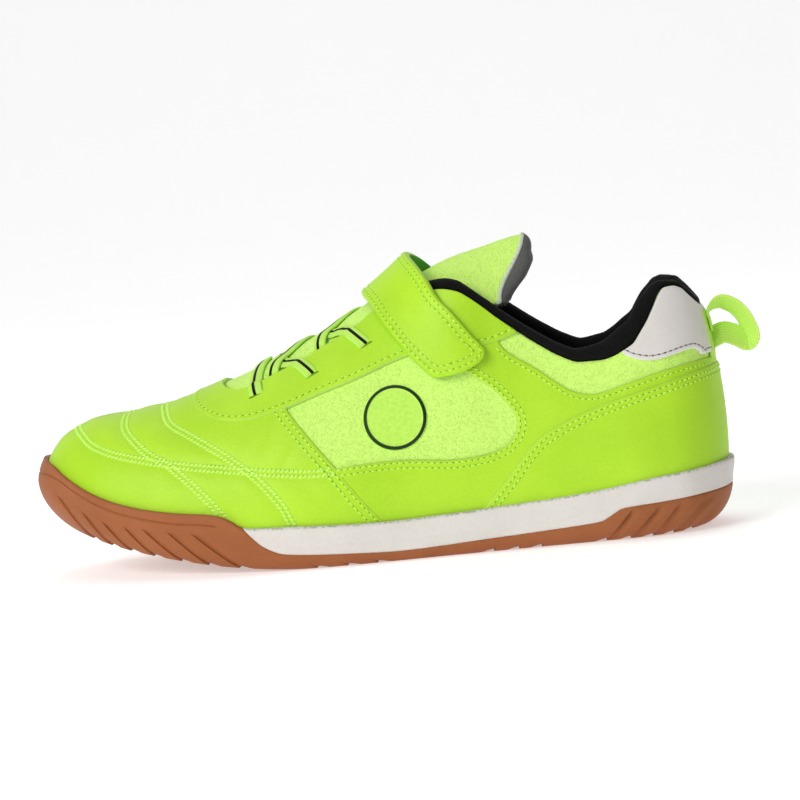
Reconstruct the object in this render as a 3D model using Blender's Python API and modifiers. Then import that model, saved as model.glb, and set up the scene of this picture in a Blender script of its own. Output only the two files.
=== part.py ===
"""Indoor court shoe for the left foot, standing empty on its sole.

Metres, +Z up. The toe points to -X, the lateral side faces -Y, the floor is Z = 0.
One function, skin(), gives the outside of the upper; the shell, its overlays, the
collar, tongue, laces, strap and the rim of the sole are all taken from it.
"""

import math
from collections import namedtuple

import bmesh
import bpy
import numpy as np

MM = 0.001

# Driving dimensions
SOLE_LENGTH = 231 * MM
BALL_WIDTH = 82 * MM
HEEL_HEIGHT = 84 * MM
TOE_SPRING = 18 * MM
LOOP_REACH = 12.9 * MM
UPPER_WALL = 2.0 * MM
PANEL_THICK = 0.85 * MM
SEAM_GAP = 0.35 * MM
INSOLE_THICK = 3.2 * MM
TONGUE_THICK = 3.2 * MM
LACE_WIDTH = 4.2 * MM
LACE_THICK = 1.0 * MM
STRAP_THICK = 2.4 * MM
LOOP_WIDTH = 9.0 * MM
LOOP_THICK = 1.0 * MM
RIM_THICK = 1.8 * MM
RIB_DEPTH = 1.1 * MM
TREAD_DEPTH = 1.5 * MM

# The tables are drawn in millimetres for a 231 x 82 x 84 shoe and graded to these;
# along is measured from a datum just behind the tip of the toe bumper
LONG = SOLE_LENGTH / (231 * MM)
WIDE = BALL_WIDTH / (82 * MM)
TALL = HEEL_HEIGHT / (84 * MM)
BUMPER_LEAD = 2.2 * MM
DATUM_X = -(SOLE_LENGTH + LOOP_REACH) / 2 + BUMPER_LEAD

# Sections of the last: distance from the toe, plan half width and centre, sole under
# the foot, crest of the section, and how full the section is
Section = namedtuple("Section", "along half centre crest_y under crest rise square belly")
SECTIONS = [
    Section(3.5, 0.0, 6.0, 5.0, 7.5, 50.2, 3.6, 2.5, 0.10),
    Section(8, 14.6, 5.4, 5.0, 7.6, 50.2, 3.5, 2.5, 0.10),
    Section(14, 21.2, 4.6, 5.0, 7.7, 50.2, 3.3, 2.5, 0.09),
    Section(24, 27.8, 3.0, 4.8, 7.8, 50.3, 3.0, 2.4, 0.07),
    Section(46, 34.4, 1.4, 4.0, 8.0, 53.4, 2.5, 2.3, 0.05),
    Section(69, 37.9, 0.2, 4.0, 8.4, 60.8, 2.2, 2.2, 0.05),
    Section(84, 38.6, 0.0, 4.0, 8.6, 67.2, 2.1, 2.1, 0.05),
    Section(104, 36.7, -1.0, 4.0, 8.8, 76.2, 2.1, 2.1, 0.05),
    Section(126, 32.8, -1.5, 3.0, 9.6, 90.0, 2.1, 2.0, 0.04),
    Section(142, 30.4, -1.4, 2.0, 10.2, 103.0, 2.3, 2.4, 0.04),
    Section(156, 29.3, -0.8, 1.4, 10.8, 115.0, 2.0, 1.75, 0.04),
    Section(172, 28.8, 0.0, 1.0, 11.6, 125.0, 1.75, 1.4, 0.05),
    Section(196, 28.5, 0.8, 1.0, 12.6, 136.0, 1.7, 1.35, 0.05),
    Section(209.5, 25.2, 1.0, 1.0, 13.2, 142.0, 1.85, 1.4, 0.05),
    Section(219.5, 17.6, 1.0, 1.0, 13.5, 144.0, 2.1, 1.55, 0.05),
    Section(225.7, 0.0, 1.0, 1.0, 13.6, 145.0, 2.2, 1.6, 0.05),
]

# Top edge of the shell: throat and collar
Edge = namedtuple("Edge", "along height")
TOPLINE = [
    Edge(40, 58.0), Edge(56, 60.0), Edge(61, 59.0), Edge(65, 57.6), Edge(69, 57.0),
    Edge(74.5, 58.2), Edge(84, 61.8), Edge(91.6, 64.9), Edge(100.7, 69.4), Edge(111, 74.8),
    Edge(118, 79.6), Edge(124, 82.0), Edge(132, 84.2), Edge(140, 85.2), Edge(145.3, 84.1),
    Edge(148, 82.4), Edge(153, 78.5), Edge(158.3, 74.1), Edge(164, 69.8), Edge(171, 64.8),
    Edge(177.3, 60.9), Edge(183.7, 58.5), Edge(190.4, 58.5), Edge(195.5, 59.6), Edge(199, 61.2),
    Edge(202.4, 63.0), Edge(205, 65.9), Edge(208.1, 69.5), Edge(211.4, 74.0), Edge(214.2, 78.0),
    Edge(216.2, 79.7), Edge(218.5, 79.9), Edge(220.6, 79.0), Edge(222.4, 76.4), Edge(224.2, 73.6),
    Edge(225.7, 71.4),
]

# Top of the sole's rim
RIM = [
    Edge(3.5, 41.0), Edge(8, 38.2), Edge(12, 34.8), Edge(17, 31.4), Edge(23, 28.2),
    Edge(30, 25.4), Edge(42, 22.4), Edge(52, 20.9), Edge(59, 19.7), Edge(62, 18.5),
    Edge(65.5, 16.4), Edge(69, 15.6), Edge(85, 14.5), Edge(102, 13.9), Edge(118, 13.7),
    Edge(135, 14.1), Edge(152, 14.9), Edge(172, 16.1), Edge(186, 17.4), Edge(203, 19.8),
    Edge(218, 21.2), Edge(225.7, 22.2),
]

# Lower edge of the white midsole, from its front tip to behind the heel
MIDSOLE_EDGE = [
    Edge(64.5, 18.5), Edge(66, 15.4), Edge(68.5, 12.2), Edge(72, 8.8), Edge(79, 5.8),
    Edge(95, 4.4), Edge(124, 3.4), Edge(152, 4.8), Edge(169, 5.7), Edge(184, 6.8),
    Edge(188, 8.2), Edge(191.5, 10.2), Edge(195, 11.0), Edge(210, 11.9), Edge(222, 12.8),
    Edge(240, 14.0),
]

# Edges of the overlays in side view
VAMP_EDGE = [
    Edge(86.9, 51.1), Edge(90.3, 46.6), Edge(95.9, 39.6), Edge(102.1, 31.9), Edge(105.7, 27.1),
    Edge(109.2, 22.2), Edge(112.8, 17.7), Edge(117.5, 12.0),
]
EYESTAY_EDGE = [
    Edge(53.2, 59.5), Edge(53.9, 55.2), Edge(57, 51.7), Edge(61.8, 49.4), Edge(67, 48.1),
    Edge(75.5, 48.3), Edge(86.9, 51.1), Edge(99.1, 55.2), Edge(109.3, 58.4), Edge(125.9, 64.4),
    Edge(138.4, 66.3), Edge(151, 66.4), Edge(156.9, 67.3), Edge(163.4, 69.5),
]
WINDOW_EDGE = [
    Edge(102.1, 31.9), Edge(118.3, 32.6), Edge(129.1, 32.1), Edge(139, 31.2), Edge(147.2, 31.5),
    Edge(153.4, 32.6), Edge(158.6, 35.4), Edge(161.1, 40.2), Edge(160.2, 44.4),
    Edge(155.7, 50.6), Edge(151.4, 54.5), Edge(146, 58.4), Edge(141.6, 61.9), Edge(138.4, 66.3),
]
COLLAR_MESH_EDGE = [
    Edge(156.9, 67.3), Edge(159.4, 64.0), Edge(163.7, 60.9), Edge(168.9, 57.4), Edge(174, 53.4),
    Edge(179.5, 49.6), Edge(185.2, 48.1), Edge(190.5, 48.7), Edge(199.5, 51.1), Edge(213, 54.2),
    Edge(225, 55.5), Edge(238, 55.8),
]
COUNTER_EDGE = [
    Edge(144.5, 11.0), Edge(148.4, 14.9), Edge(152.7, 19.5), Edge(157.3, 24.4), Edge(162.2, 30.1),
    Edge(168, 35.6), Edge(176.7, 40.2), Edge(190, 44.8), Edge(206.3, 49.0), Edge(224, 53.0),
    Edge(238, 54.2),
]
HEEL_TAB_EDGE = [
    Edge(194.4, 61.4), Edge(197, 59.6), Edge(200.5, 57.9), Edge(205.5, 56.9), Edge(210.5, 57.5),
    Edge(216, 58.8), Edge(219, 59.0), Edge(220.8, 57.8), Edge(222.4, 56.7), Edge(238, 56.7),
]

# Padded tongue beyond the throat: crest, half width, hang of its sides, sweep of its end
TonguePart = namedtuple("TonguePart", "along crest half hang sweep")
TONGUE = [
    TonguePart(54, 54.0, 13.0, 7.0, 0.0),
    TonguePart(118, 82.6, 12.5, 6.0, 0.0),
    TonguePart(131, 89.0, 12.2, 9.0, 1.0),
    TonguePart(142, 93.4, 12.8, 12.5, 2.5),
    TonguePart(153, 96.4, 14.6, 17.0, 4.0),
    TonguePart(162, 98.8, 15.8, 19.5, 4.4),
    TonguePart(168, 100.2, 15.8, 18.0, 4.4),
    TonguePart(171, 100.6, 12.4, 11.0, 2.4),
]

# Edges of the strap in side view, from its free end to the crest, and its stand-off
StrapPart = namedtuple("StrapPart", "front_along front_height rear_along rear_height lift_front lift_rear")
STRAP = [
    StrapPart(138.6, 57.2, 148.6, 59.4, 1.9, 1.9),
    StrapPart(132.4, 59.5, 152.5, 63.2, 1.9, 1.9),
    StrapPart(127.4, 63.4, 150.2, 67.1, 1.9, 1.9),
    StrapPart(121.5, 68.9, 143.2, 76.3, 2.0, 2.1),
    StrapPart(116.6, 75.2, 136.6, 85.3, 2.2, 2.6),
]
STRAP_CREST = StrapPart(113.6, 0.0, 130.8, 0.0, 2.2, 3.2)

# Lace slots on each side and where the crossings leave the throat edge
Slot = namedtuple("Slot", "along height")
LACE_SLOTS = [Slot(77.2, 54.6), Slot(95.5, 60.4), Slot(113.8, 68.4)]
LACE_LEAVES = [Slot(81.0, 0.0), Slot(98.5, 0.0)]

# Pull loop in side view, after the strip that lies on the heel
LOOP = [
    Edge(227.0, 73.2), Edge(229.4, 74.6), Edge(232.6, 73.8), Edge(236.0, 70.6),
    Edge(238.4, 65.4), Edge(239.6, 60.4), Edge(238.6, 57.4), Edge(236.0, 57.0),
    Edge(233.6, 59.2), Edge(231.8, 61.0), Edge(230.4, 60.6),
]
LOOP_STRIP = (55.0, 71.0)
LOOP_TWIST = math.radians(-35)

# Profile of the padded collar: height above the shell's edge, depth inwards
Pad = namedtuple("Pad", "above depth")
COLLAR_PROFILE = [
    Pad(0.4, 0.3), Pad(2.0, -0.4), Pad(3.6, 0.5), Pad(4.5, 2.4), Pad(4.0, 4.6),
    Pad(1.6, 6.2), Pad(-6.0, 6.8), Pad(-15.0, 5.8), Pad(-20.0, 3.6), Pad(-20.0, 2.4),
    Pad(-9.0, 2.4), Pad(0.4, 2.4),
]
COLLAR_FRONT = 131.0
COLLAR_FRONT_PADDING = 0.5
COLLAR_HEEL_DROP = 0.35

# Slanted ribs of the rubber sidewall: places, lean along the sole per height, and the
# share of the sidewall's height they cover
Ribs = namedtuple("Ribs", "first last count lean low high")
SIDE_RIBS = [
    Ribs(18, 60, 8, -0.8, -0.05, 0.66),
    Ribs(190, 218, 5, 0.8, -0.05, 0.46),
]
RIB_WIDTH = 2.4 * MM

# Chevron grooves across the tread
Grooves = namedtuple("Grooves", "first last count sweep")
TREAD_GROOVES = [Grooves(40, 92, 6, 0.12), Grooves(176, 212, 4, -0.12)]
GROOVE_WIDTH = 2.2 * MM


def curve(table, column, key="along"):
    """Smooth curve through one column of a table, held at its ends."""
    xs = np.array([getattr(row, key) for row in table], float)
    ys = np.array([column(row) for row in table], float)
    step = np.diff(xs)
    slope = np.diff(ys) / step
    tangent = np.zeros(len(xs))
    tangent[0] = slope[0]
    tangent[-1] = slope[-1]
    for i in range(1, len(xs) - 1):
        if slope[i - 1] * slope[i] > 0:
            near = 2 * step[i] + step[i - 1]
            far = step[i] + 2 * step[i - 1]
            tangent[i] = (near + far) / (near / slope[i - 1] + far / slope[i])

    def at(x):
        x = np.clip(x, xs[0], xs[-1])
        i = np.clip(np.searchsorted(xs, x, side="right") - 1, 0, len(step) - 1)
        t = (x - xs[i]) / step[i]
        rise = ys[i] * (1 + 2 * t) * (1 - t) ** 2 + ys[i + 1] * t * t * (3 - 2 * t)
        return rise + step[i] * t * (1 - t) * (tangent[i] * (1 - t) - tangent[i + 1] * t)

    return at


half_squared = curve(SECTIONS, lambda s: s.half**2)
centre_at = curve(SECTIONS, lambda s: s.centre)
crest_y_at = curve(SECTIONS, lambda s: s.crest_y)
under_at = curve(SECTIONS, lambda s: s.under)
crest_at = curve(SECTIONS, lambda s: s.crest)
rise_at = curve(SECTIONS, lambda s: s.rise)
square_at = curve(SECTIONS, lambda s: s.square)
belly_at = curve(SECTIONS, lambda s: s.belly)
topline_at = curve(TOPLINE, lambda e: e.height)
rim_at = curve(RIM, lambda e: e.height)

UPPER_TOE = SECTIONS[0].along
UPPER_HEEL = SECTIONS[-1].along
MID_ALONG = (UPPER_TOE + UPPER_HEEL) / 2
HALF_ALONG = (UPPER_HEEL - UPPER_TOE) / 2
SPRING_START = 93.5
WALL_STATIONS = 33
WALL_ROWS = 8


def floor_at(along):
    """Height of the tread: flat to the ball, then the toe spring."""
    lift = np.clip((SPRING_START - along) / SPRING_START, 0, None)
    return TOE_SPRING / MM / TALL * lift**1.8


def bed_at(along):
    return floor_at(along) + under_at(along)


def along_of(u):
    return MID_ALONG - HALF_ALONG * np.cos(np.pi * np.asarray(u, float))


def u_of(along):
    return np.arccos(np.clip((MID_ALONG - along) / HALF_ALONG, -1, 1)) / np.pi


def axis_of(along):
    """Where the plane of a section meets the crest line; it fans out at toe and heel."""
    q = (along - MID_ALONG) / HALF_ALONG
    return MID_ALONG + HALF_ALONG * (q - np.where(q < 0, 0.24, 0.30) * q**3)


def last_point(u, v):
    """Bare last at u from toe 0 to heel 1, v from lateral bed -1 over the crest to +1."""
    u, v = np.broadcast_arrays(np.asarray(u, float), np.asarray(v, float))
    v = np.where((u < 0) | (u > 1), -v, v)
    u = np.where(u < 0, -u, np.where(u > 1, 2 - u, u))
    along = along_of(u)
    axis = axis_of(along)
    angle = (1 - np.abs(v)) * np.pi / 2
    share = np.clip(np.sin(angle), 0, 1) ** (2 / rise_at(along))
    reach = np.clip(np.cos(angle), 0, 1) ** (2 / square_at(along))
    reach = reach + belly_at(along) * 9.48 * share * (1 - share) ** 3
    edge_y = centre_at(along) + np.where(v < 0, -1, 1) * np.sqrt(np.clip(half_squared(along), 0, None))
    crest_y = crest_y_at(along)
    bed = bed_at(along)
    x = axis + (along - axis) * reach
    y = crest_y + (edge_y - crest_y) * reach
    z = bed + (crest_at(axis) - bed) * share
    return np.stack([x, y, z], axis=-1)


def skin(u, v, offset=0.0):
    """Outside of the upper in millimetres, moved outwards by offset."""
    u, v = np.broadcast_arrays(np.asarray(u, float), np.asarray(v, float))
    h = 1e-3
    near = np.where(np.abs(v) < h, np.clip(u, 0.03, 0.97), u)
    across = last_point(near, np.minimum(v + h, 1)) - last_point(near, np.maximum(v - h, -1))
    down = last_point(near + h, v) - last_point(near - h, v)
    normal = np.cross(down, across)
    normal = normal / np.linalg.norm(normal, axis=-1, keepdims=True)
    return last_point(u, v) + normal * np.asarray(offset, float)[..., None]


def v_at_height(u, height):
    """Size of v where the section at u reaches a height."""
    along = along_of(u)
    bed = bed_at(along)
    share = np.clip((height - bed) / (crest_at(axis_of(along)) - bed), 0, 1)
    return 1 - np.arcsin(share ** (rise_at(along) / 2)) * 2 / np.pi


def uv_at(along, height):
    """u and size of v of the wall point seen in side view at along and height."""
    u = u_of(np.asarray(along, float))
    for _ in range(12):
        v = v_at_height(u, height)
        miss = along - last_point(u, -v)[..., 0]
        u = u_of(along_of(u) + 0.9 * miss)
    return u, v_at_height(u, height)


def place(points):
    """Millimetres from the toe to metres in the part's frame."""
    points = np.asarray(points, float)
    return points * np.array([LONG, WIDE, TALL]) * MM + np.array([DATUM_X, 0, 0])


def new_object(name, mesh):
    thing = bpy.data.objects.new(name, mesh)
    bpy.context.scene.collection.objects.link(thing)
    return thing


def grid_mesh(name, grids, close_rings=False):
    """Mesh from grids of points; equal points are joined, rings may close on themselves."""
    build = bmesh.new()
    for points in grids:
        points = place(points)
        count = points.shape[1]
        verts = [[build.verts.new(p) for p in row] for row in points]
        for i in range(len(verts) - 1):
            for j in range(count if close_rings else count - 1):
                k = (j + 1) % count
                build.faces.new((verts[i][j], verts[i + 1][j], verts[i + 1][k]))
                build.faces.new((verts[i][j], verts[i + 1][k], verts[i][k]))
        if close_rings:
            build.faces.new(verts[0])
            build.faces.new(verts[-1][::-1])
    bmesh.ops.remove_doubles(build, verts=build.verts, dist=0.00002)
    bmesh.ops.dissolve_degenerate(build, edges=build.edges, dist=0.00001)
    mesh = bpy.data.meshes.new(name)
    build.to_mesh(mesh)
    build.free()
    return mesh


def outward(mesh):
    build = bmesh.new()
    build.from_mesh(mesh)
    bmesh.ops.recalc_face_normals(build, faces=build.faces)
    build.to_mesh(mesh)
    build.free()
    return mesh


def thicken(thing, thickness, side):
    shell = thing.modifiers.new("thickness", "SOLIDIFY")
    shell.thickness = thickness
    shell.offset = side
    shell.use_even_offset = True
    shell.use_quality_normals = True
    return thing


def combine(thing, cutter, operation):
    cut = thing.modifiers.new(operation.lower(), "BOOLEAN")
    cut.object = cutter
    cut.operation = operation
    cut.solver = "EXACT"
    cutter.hide_render = True
    return thing


def smooth_path(points, per_span=3):
    """Points of a smooth curve through the given ones."""
    points = np.asarray(points, float)
    ends = np.vstack([2 * points[0] - points[1], points, 2 * points[-1] - points[-2]])
    path = []
    for i in range(len(points) - 1):
        a, b, c, d = ends[i : i + 4]
        for t in np.arange(per_span) / per_span:
            path.append(
                b + 0.5 * t * (c - a) + t * t * (a - 2.5 * b + 2 * c - 0.5 * d)
                + t**3 * (1.5 * (b - c) + 0.5 * (d - a))
            )
    path.append(points[-1])
    return np.array(path)


def prism(name, outline, grow=0.0):
    """Side-view outline, grown by a margin, pushed through the whole width of the shoe."""
    outline = np.asarray(outline, float)
    before = outline - np.roll(outline, 1, axis=0)
    after = np.roll(outline, -1, axis=0) - outline
    area = np.sum(outline[:, 0] * np.roll(outline[:, 1], -1) - outline[:, 1] * np.roll(outline[:, 0], -1))
    turn = 1 if area > 0 else -1
    first = before / np.linalg.norm(before, axis=1, keepdims=True)
    second = after / np.linalg.norm(after, axis=1, keepdims=True)
    mid = first + second
    mid = mid / np.linalg.norm(mid, axis=1, keepdims=True)
    out = np.stack([mid[:, 1], -mid[:, 0]], axis=1) * turn
    outline = outline + grow * out
    sides = []
    for y in (-60.0, 60.0):
        sides.append(np.stack([outline[:, 0], np.full(len(outline), y), outline[:, 1]], axis=1))
    rings = np.stack(sides)
    return new_object(name, outward(grid_mesh(name, [rings], close_rings=True)))


def edge_path(edges, per_span=1):
    return smooth_path([(e.along, e.height) for e in edges], per_span)


def wall_grids(offset, first=UPPER_TOE, last=UPPER_HEEL):
    """Both sides of the shell's outside between two places, on one shared set of lines."""
    stations = np.linspace(0, 1, WALL_STATIONS)
    inside = (along_of(stations) > first - 9) & (along_of(stations) < last + 9)
    stations = stations[inside]
    along = along_of(stations)
    top = v_at_height(stations, np.minimum(topline_at(along), crest_at(axis_of(along))))
    size = 1 + (top[:, None] - 1) * np.linspace(0, 1, WALL_ROWS)[None, :]
    lateral = skin(stations[:, None], -size, offset)
    medial = skin(stations[:, None], size, offset)[::-1]
    return [lateral, medial]


def make_upper():
    shell = new_object("upper", grid_mesh("upper", wall_grids(0.0)))
    thicken(shell, UPPER_WALL, -1)


def make_panel(name, outline, first, last):
    """Overlay: the shell's outside moved out by the seam gap, thickened, cut to an outline."""
    sheet = new_object(name, grid_mesh(name, wall_grids(SEAM_GAP / MM, first, last)))
    thicken(sheet, PANEL_THICK, 1)
    combine(sheet, prism(name + "_outline", outline, -SEAM_GAP / MM / 2), "INTERSECT")


def nearest(path, along):
    return int(np.argmin(np.abs(path[:, 0] - along)))


def above_rim(path):
    return path[path[:, 1] > rim_at(path[:, 0]) + 1.4]


def rim_path(first, last, count):
    along = np.linspace(first, last, count)
    return np.stack([along, rim_at(along) + 1.1], axis=1)


def make_panels():
    seam = above_rim(edge_path(VAMP_EDGE))
    eyestay = edge_path(EYESTAY_EDGE, 2)
    window = edge_path(WINDOW_EDGE)
    collar = edge_path(COLLAR_MESH_EDGE)
    counter = above_rim(edge_path(COUNTER_EDGE))
    tab = edge_path(HEEL_TAB_EDGE)
    join = nearest(eyestay, VAMP_EDGE[0].along)
    corner = nearest(eyestay, WINDOW_EDGE[-1].along)
    meet = nearest(eyestay, COLLAR_MESH_EDGE[0].along)
    start = nearest(seam, WINDOW_EDGE[0].along)
    seam_foot = seam[-1][0]
    counter_foot = counter[0][0]
    vamp = np.vstack([
        [(-20, 42.3), (-20, 90), (53.2, 90)], eyestay[: join + 1], seam[1:],
        rim_path(3.5, seam_foot + 0.4, 24)[::-1],
    ])
    stay = np.vstack([eyestay, [(168, 130), (53.2, 130)]])
    quarter = np.vstack([
        rim_path(seam_foot + 0.4, counter_foot - 0.4, 6)[::-1], seam[start:][::-1], window[1:-1],
        eyestay[corner : meet + 1], collar[1:], counter[::-1],
    ])
    back = np.vstack([
        counter, [(250, 54.6), (250, 23)], rim_path(counter_foot - 0.4, UPPER_HEEL, 14)[::-1],
    ])
    tail = np.vstack([tab, [(250, 56.7), (250, 120), (194.4, 120)]])
    make_panel("vamp_panel", vamp, UPPER_TOE, 118)
    make_panel("eyestay", stay, 48, 168)
    make_panel("quarter_panel", quarter, 92, UPPER_HEEL)
    make_panel("heel_counter", back, 138, UPPER_HEEL)
    make_panel("heel_tab", tail, 192, UPPER_HEEL)


def sidewall(u, side):
    """Plan point, outward direction, tuck under, and heights of the sidewall at a station."""
    along = float(along_of(u))
    end = abs(math.cos(math.pi * u)) ** 3
    near = last_point(u + 1e-3, side) - last_point(u - 1e-3, side)
    out = np.array([near[1], -near[0]]) * -side
    out = out / np.linalg.norm(out)
    stand = 2.9 + (2.8 * end**3 if u < 0.5 else 0.1 * end)
    base = last_point(u, side)[:2] + out * stand
    rim = float(rim_at(along))
    low = float(floor_at(along))
    widest = low + (0.55 + 0.15 * end) * (rim - low)
    return base, out, 5.0 + 8.0 * end, low, widest, rim


def sole_station(u, side):
    """Closed ring of the sole at one station: tread, sidewall, rim and bed."""
    along = float(along_of(u))
    axis = np.array([axis_of(along), crest_y_at(along)])
    base, out, tuck, low, widest, rim = sidewall(u, side)
    v_rim = side * v_at_height(u, rim)
    ring = []
    for share in (0.0, 0.5):
        x, y = axis + (base - out * tuck - axis) * share
        ring.append((x, y, floor_at(x)))
    for angle in (0, 28, 58, 90):
        x, y = base - out * tuck * (1 - math.sin(math.radians(angle)))
        low = float(floor_at(x))
        ring.append((x, y, low + (widest - low) * (1 - math.cos(math.radians(angle)))))
    clear = SEAM_GAP / MM + 0.15
    outer = skin(u, v_rim, RIM_THICK / MM + clear)
    inner = skin(u, v_rim, clear)
    ring.append(tuple(outer - np.array([0, 0, 0.7])))
    ring.append(tuple(outer + (inner - outer) * 0.3))
    for share in (0.0, 0.5):
        ring.append(tuple(skin(u, v_rim + (side - v_rim) * share, clear)))
    wall = skin(u, side, clear)
    ring.append((wall[0], wall[1], bed_at(along) - SEAM_GAP / MM))
    x, y = axis
    ring.append((x, y, bed_at(x) - SEAM_GAP / MM))
    return ring


def make_ribs():
    """Cutter for the slanted ribs: one wedge with a steep and a gentle flank for each."""
    grids = []
    for ribs in SIDE_RIBS:
        for place_along in np.linspace(ribs.first, ribs.last, ribs.count):
            for side in (-1, 1):
                rings = []
                for share in np.linspace(ribs.low, ribs.high, 3):
                    u = float(u_of(place_along))
                    _, _, _, low, _, rim = sidewall(u, side)
                    height = low + share * (rim - low)
                    u = float(u_of(place_along + ribs.lean * (height - low)))
                    base, out, tuck, low, widest, _ = sidewall(u, side)
                    rest = float(np.clip((widest - height) / (widest - low), 0, 1))
                    spot = base - out * tuck * (1 - math.sqrt(1 - rest**2))
                    ahead = np.array([-out[1], out[0]]) * -side
                    fade = 0.25 if share == ribs.high else 1.0
                    steep = spot + ahead * 0.2 * RIB_WIDTH / MM + out
                    gentle = spot - ahead * 0.8 * RIB_WIDTH / MM + out
                    deep = spot - out * RIB_DEPTH / MM * fade
                    rings.append([(*steep, height), (*deep, height), (*gentle, height)])
                grids.append(np.array(rings))
    return new_object("rib_cutter", outward(grid_mesh("rib_cutter", grids, close_rings=True)))


def make_grooves():
    """Cutter for the chevron grooves of the tread."""
    grids = []
    half = GROOVE_WIDTH / MM / 2
    for grooves in TREAD_GROOVES:
        for along in np.linspace(grooves.first, grooves.last, grooves.count):
            rings = []
            for y in (-60.0, 0.0, 60.0):
                x = along + grooves.sweep * abs(y)
                deep = TREAD_DEPTH / MM
                low, high = float(floor_at(x - half)), float(floor_at(x + half))
                rings.append([
                    (x - half, y, low - 3), (x + half, y, high - 3),
                    (x + half, y, high + deep), (x - half, y, low + deep),
                ])
            grids.append(np.array(rings))
    return new_object("groove_cutter", outward(grid_mesh("groove_cutter", grids, close_rings=True)))


def make_sole():
    stations = np.linspace(0, 1, WALL_STATIONS)
    lateral = np.array([sole_station(u, -1) for u in stations])
    medial = np.array([sole_station(u, 1) for u in stations])[::-1]
    form = outward(grid_mesh("sole_form", [lateral, medial]))
    edge = edge_path(MIDSOLE_EDGE, 2)
    wedge = np.vstack([edge, [(250, 14.6), (250, 70), (64.5, 70)]])
    outsole = new_object("outsole", form)
    combine(outsole, make_grooves(), "DIFFERENCE")
    combine(outsole, make_ribs(), "DIFFERENCE")
    combine(outsole, prism("midsole_space", wedge, SEAM_GAP / MM), "DIFFERENCE")
    midsole = new_object("midsole", form.copy())
    combine(midsole, prism("midsole_outline", wedge), "INTERSECT")
    return outsole


def make_insole():
    stations = np.linspace(0, 1, 23)
    grids = []
    for side in (-1, 1):
        rows = []
        for u in stations:
            along = float(along_of(u))
            wall = skin(u, side, -(UPPER_WALL / MM + 0.7))
            axis = np.array([axis_of(along), crest_y_at(along)])
            row = []
            for share, top in ((0, 0), (0.6, 0), (1, 0), (0.99, 1), (0.6, 1), (0, 1)):
                x, y = axis + (wall[:2] - axis) * share
                row.append((x, y, bed_at(x) + SEAM_GAP / MM + top * INSOLE_THICK / MM))
            rows.append(row)
        grids.append(np.array(rows)[:: -side])
    new_object("insole", outward(grid_mesh("insole", grids)))


def make_collar():
    stations = np.linspace(0, 1, WALL_STATIONS)
    forward = stations[along_of(stations) > COLLAR_FRONT]
    rings = []
    for side, run in ((-1, forward), (1, forward[:-1][::-1])):
        for u in run:
            edge = float(topline_at(along_of(u)))
            along = float(along_of(u))
            full = min(1.0, COLLAR_FRONT_PADDING + (along - COLLAR_FRONT) / 70)
            stand = 1 - COLLAR_HEEL_DROP * min(1.0, max(0.0, (along - 200) / 12))
            ring = []
            for pad in COLLAR_PROFILE:
                size = v_at_height(u, edge + (pad.above * stand if pad.above > 1 else pad.above))
                depth = min(pad.depth, 2.4) + max(pad.depth - 2.4, 0) * full
                ring.append(skin(u, side * size, -depth))
            rings.append(ring)
    new_object("collar_lining", outward(grid_mesh("collar_lining", [np.array(rings)], close_rings=True)))


def make_tongue():
    crest = curve(TONGUE, lambda t: t.crest)
    half = curve(TONGUE, lambda t: t.half)
    hang = curve(TONGUE, lambda t: t.hang)
    sweep = curve(TONGUE, lambda t: t.sweep)
    under = -(UPPER_WALL / MM + 1.8)
    alongs = np.concatenate([np.linspace(54, 160, 13), [165, 168.4, 170.2, 171]])
    shares = np.linspace(-1, 1, 7)
    rows = []
    for along in alongs:
        free = np.clip((along - 116) / 18, 0, 1)
        free = free * free * (3 - 2 * free)
        u = float(u_of(along))
        row = []
        for share in shares:
            y = 0.2 + share * half(along)
            drop = abs(share) ** 2.4
            hung = np.array([along - sweep(along) * drop, y, crest(along) - hang(along) * drop])
            size = share * 0.36
            close = skin(u, size, under)
            row.append(close + (hung - close) * free)
        rows.append(row)
    sheet = new_object("tongue", grid_mesh("tongue", [np.array(rows)]))
    thicken(sheet, TONGUE_THICK, -1)


def band(name, line, width, lift):
    """Flat band on the upper: a line of (u, v) with half width across it and stand-off."""
    line = np.asarray(line, float)
    spots = skin(line[:, 0], line[:, 1], lift)
    along = np.gradient(spots, axis=0)
    away = skin(line[:, 0], line[:, 1], np.asarray(lift) + 1.0) - spots
    side = np.cross(along, away)
    side = side / np.linalg.norm(side, axis=1, keepdims=True)
    rows = np.stack([spots + side * width / 2, spots, spots - side * width / 2], axis=1)
    return new_object(name, grid_mesh(name, [rows]))


def throat_dip(line):
    """How far a lace sinks between the edges of the throat."""
    edge = v_at_height(line[:, 0], topline_at(along_of(line[:, 0])))
    return 1.3 * np.clip(1 - (np.abs(line[:, 1]) / np.maximum(0.85 * edge, 0.01)) ** 2, 0, 1)


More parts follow.
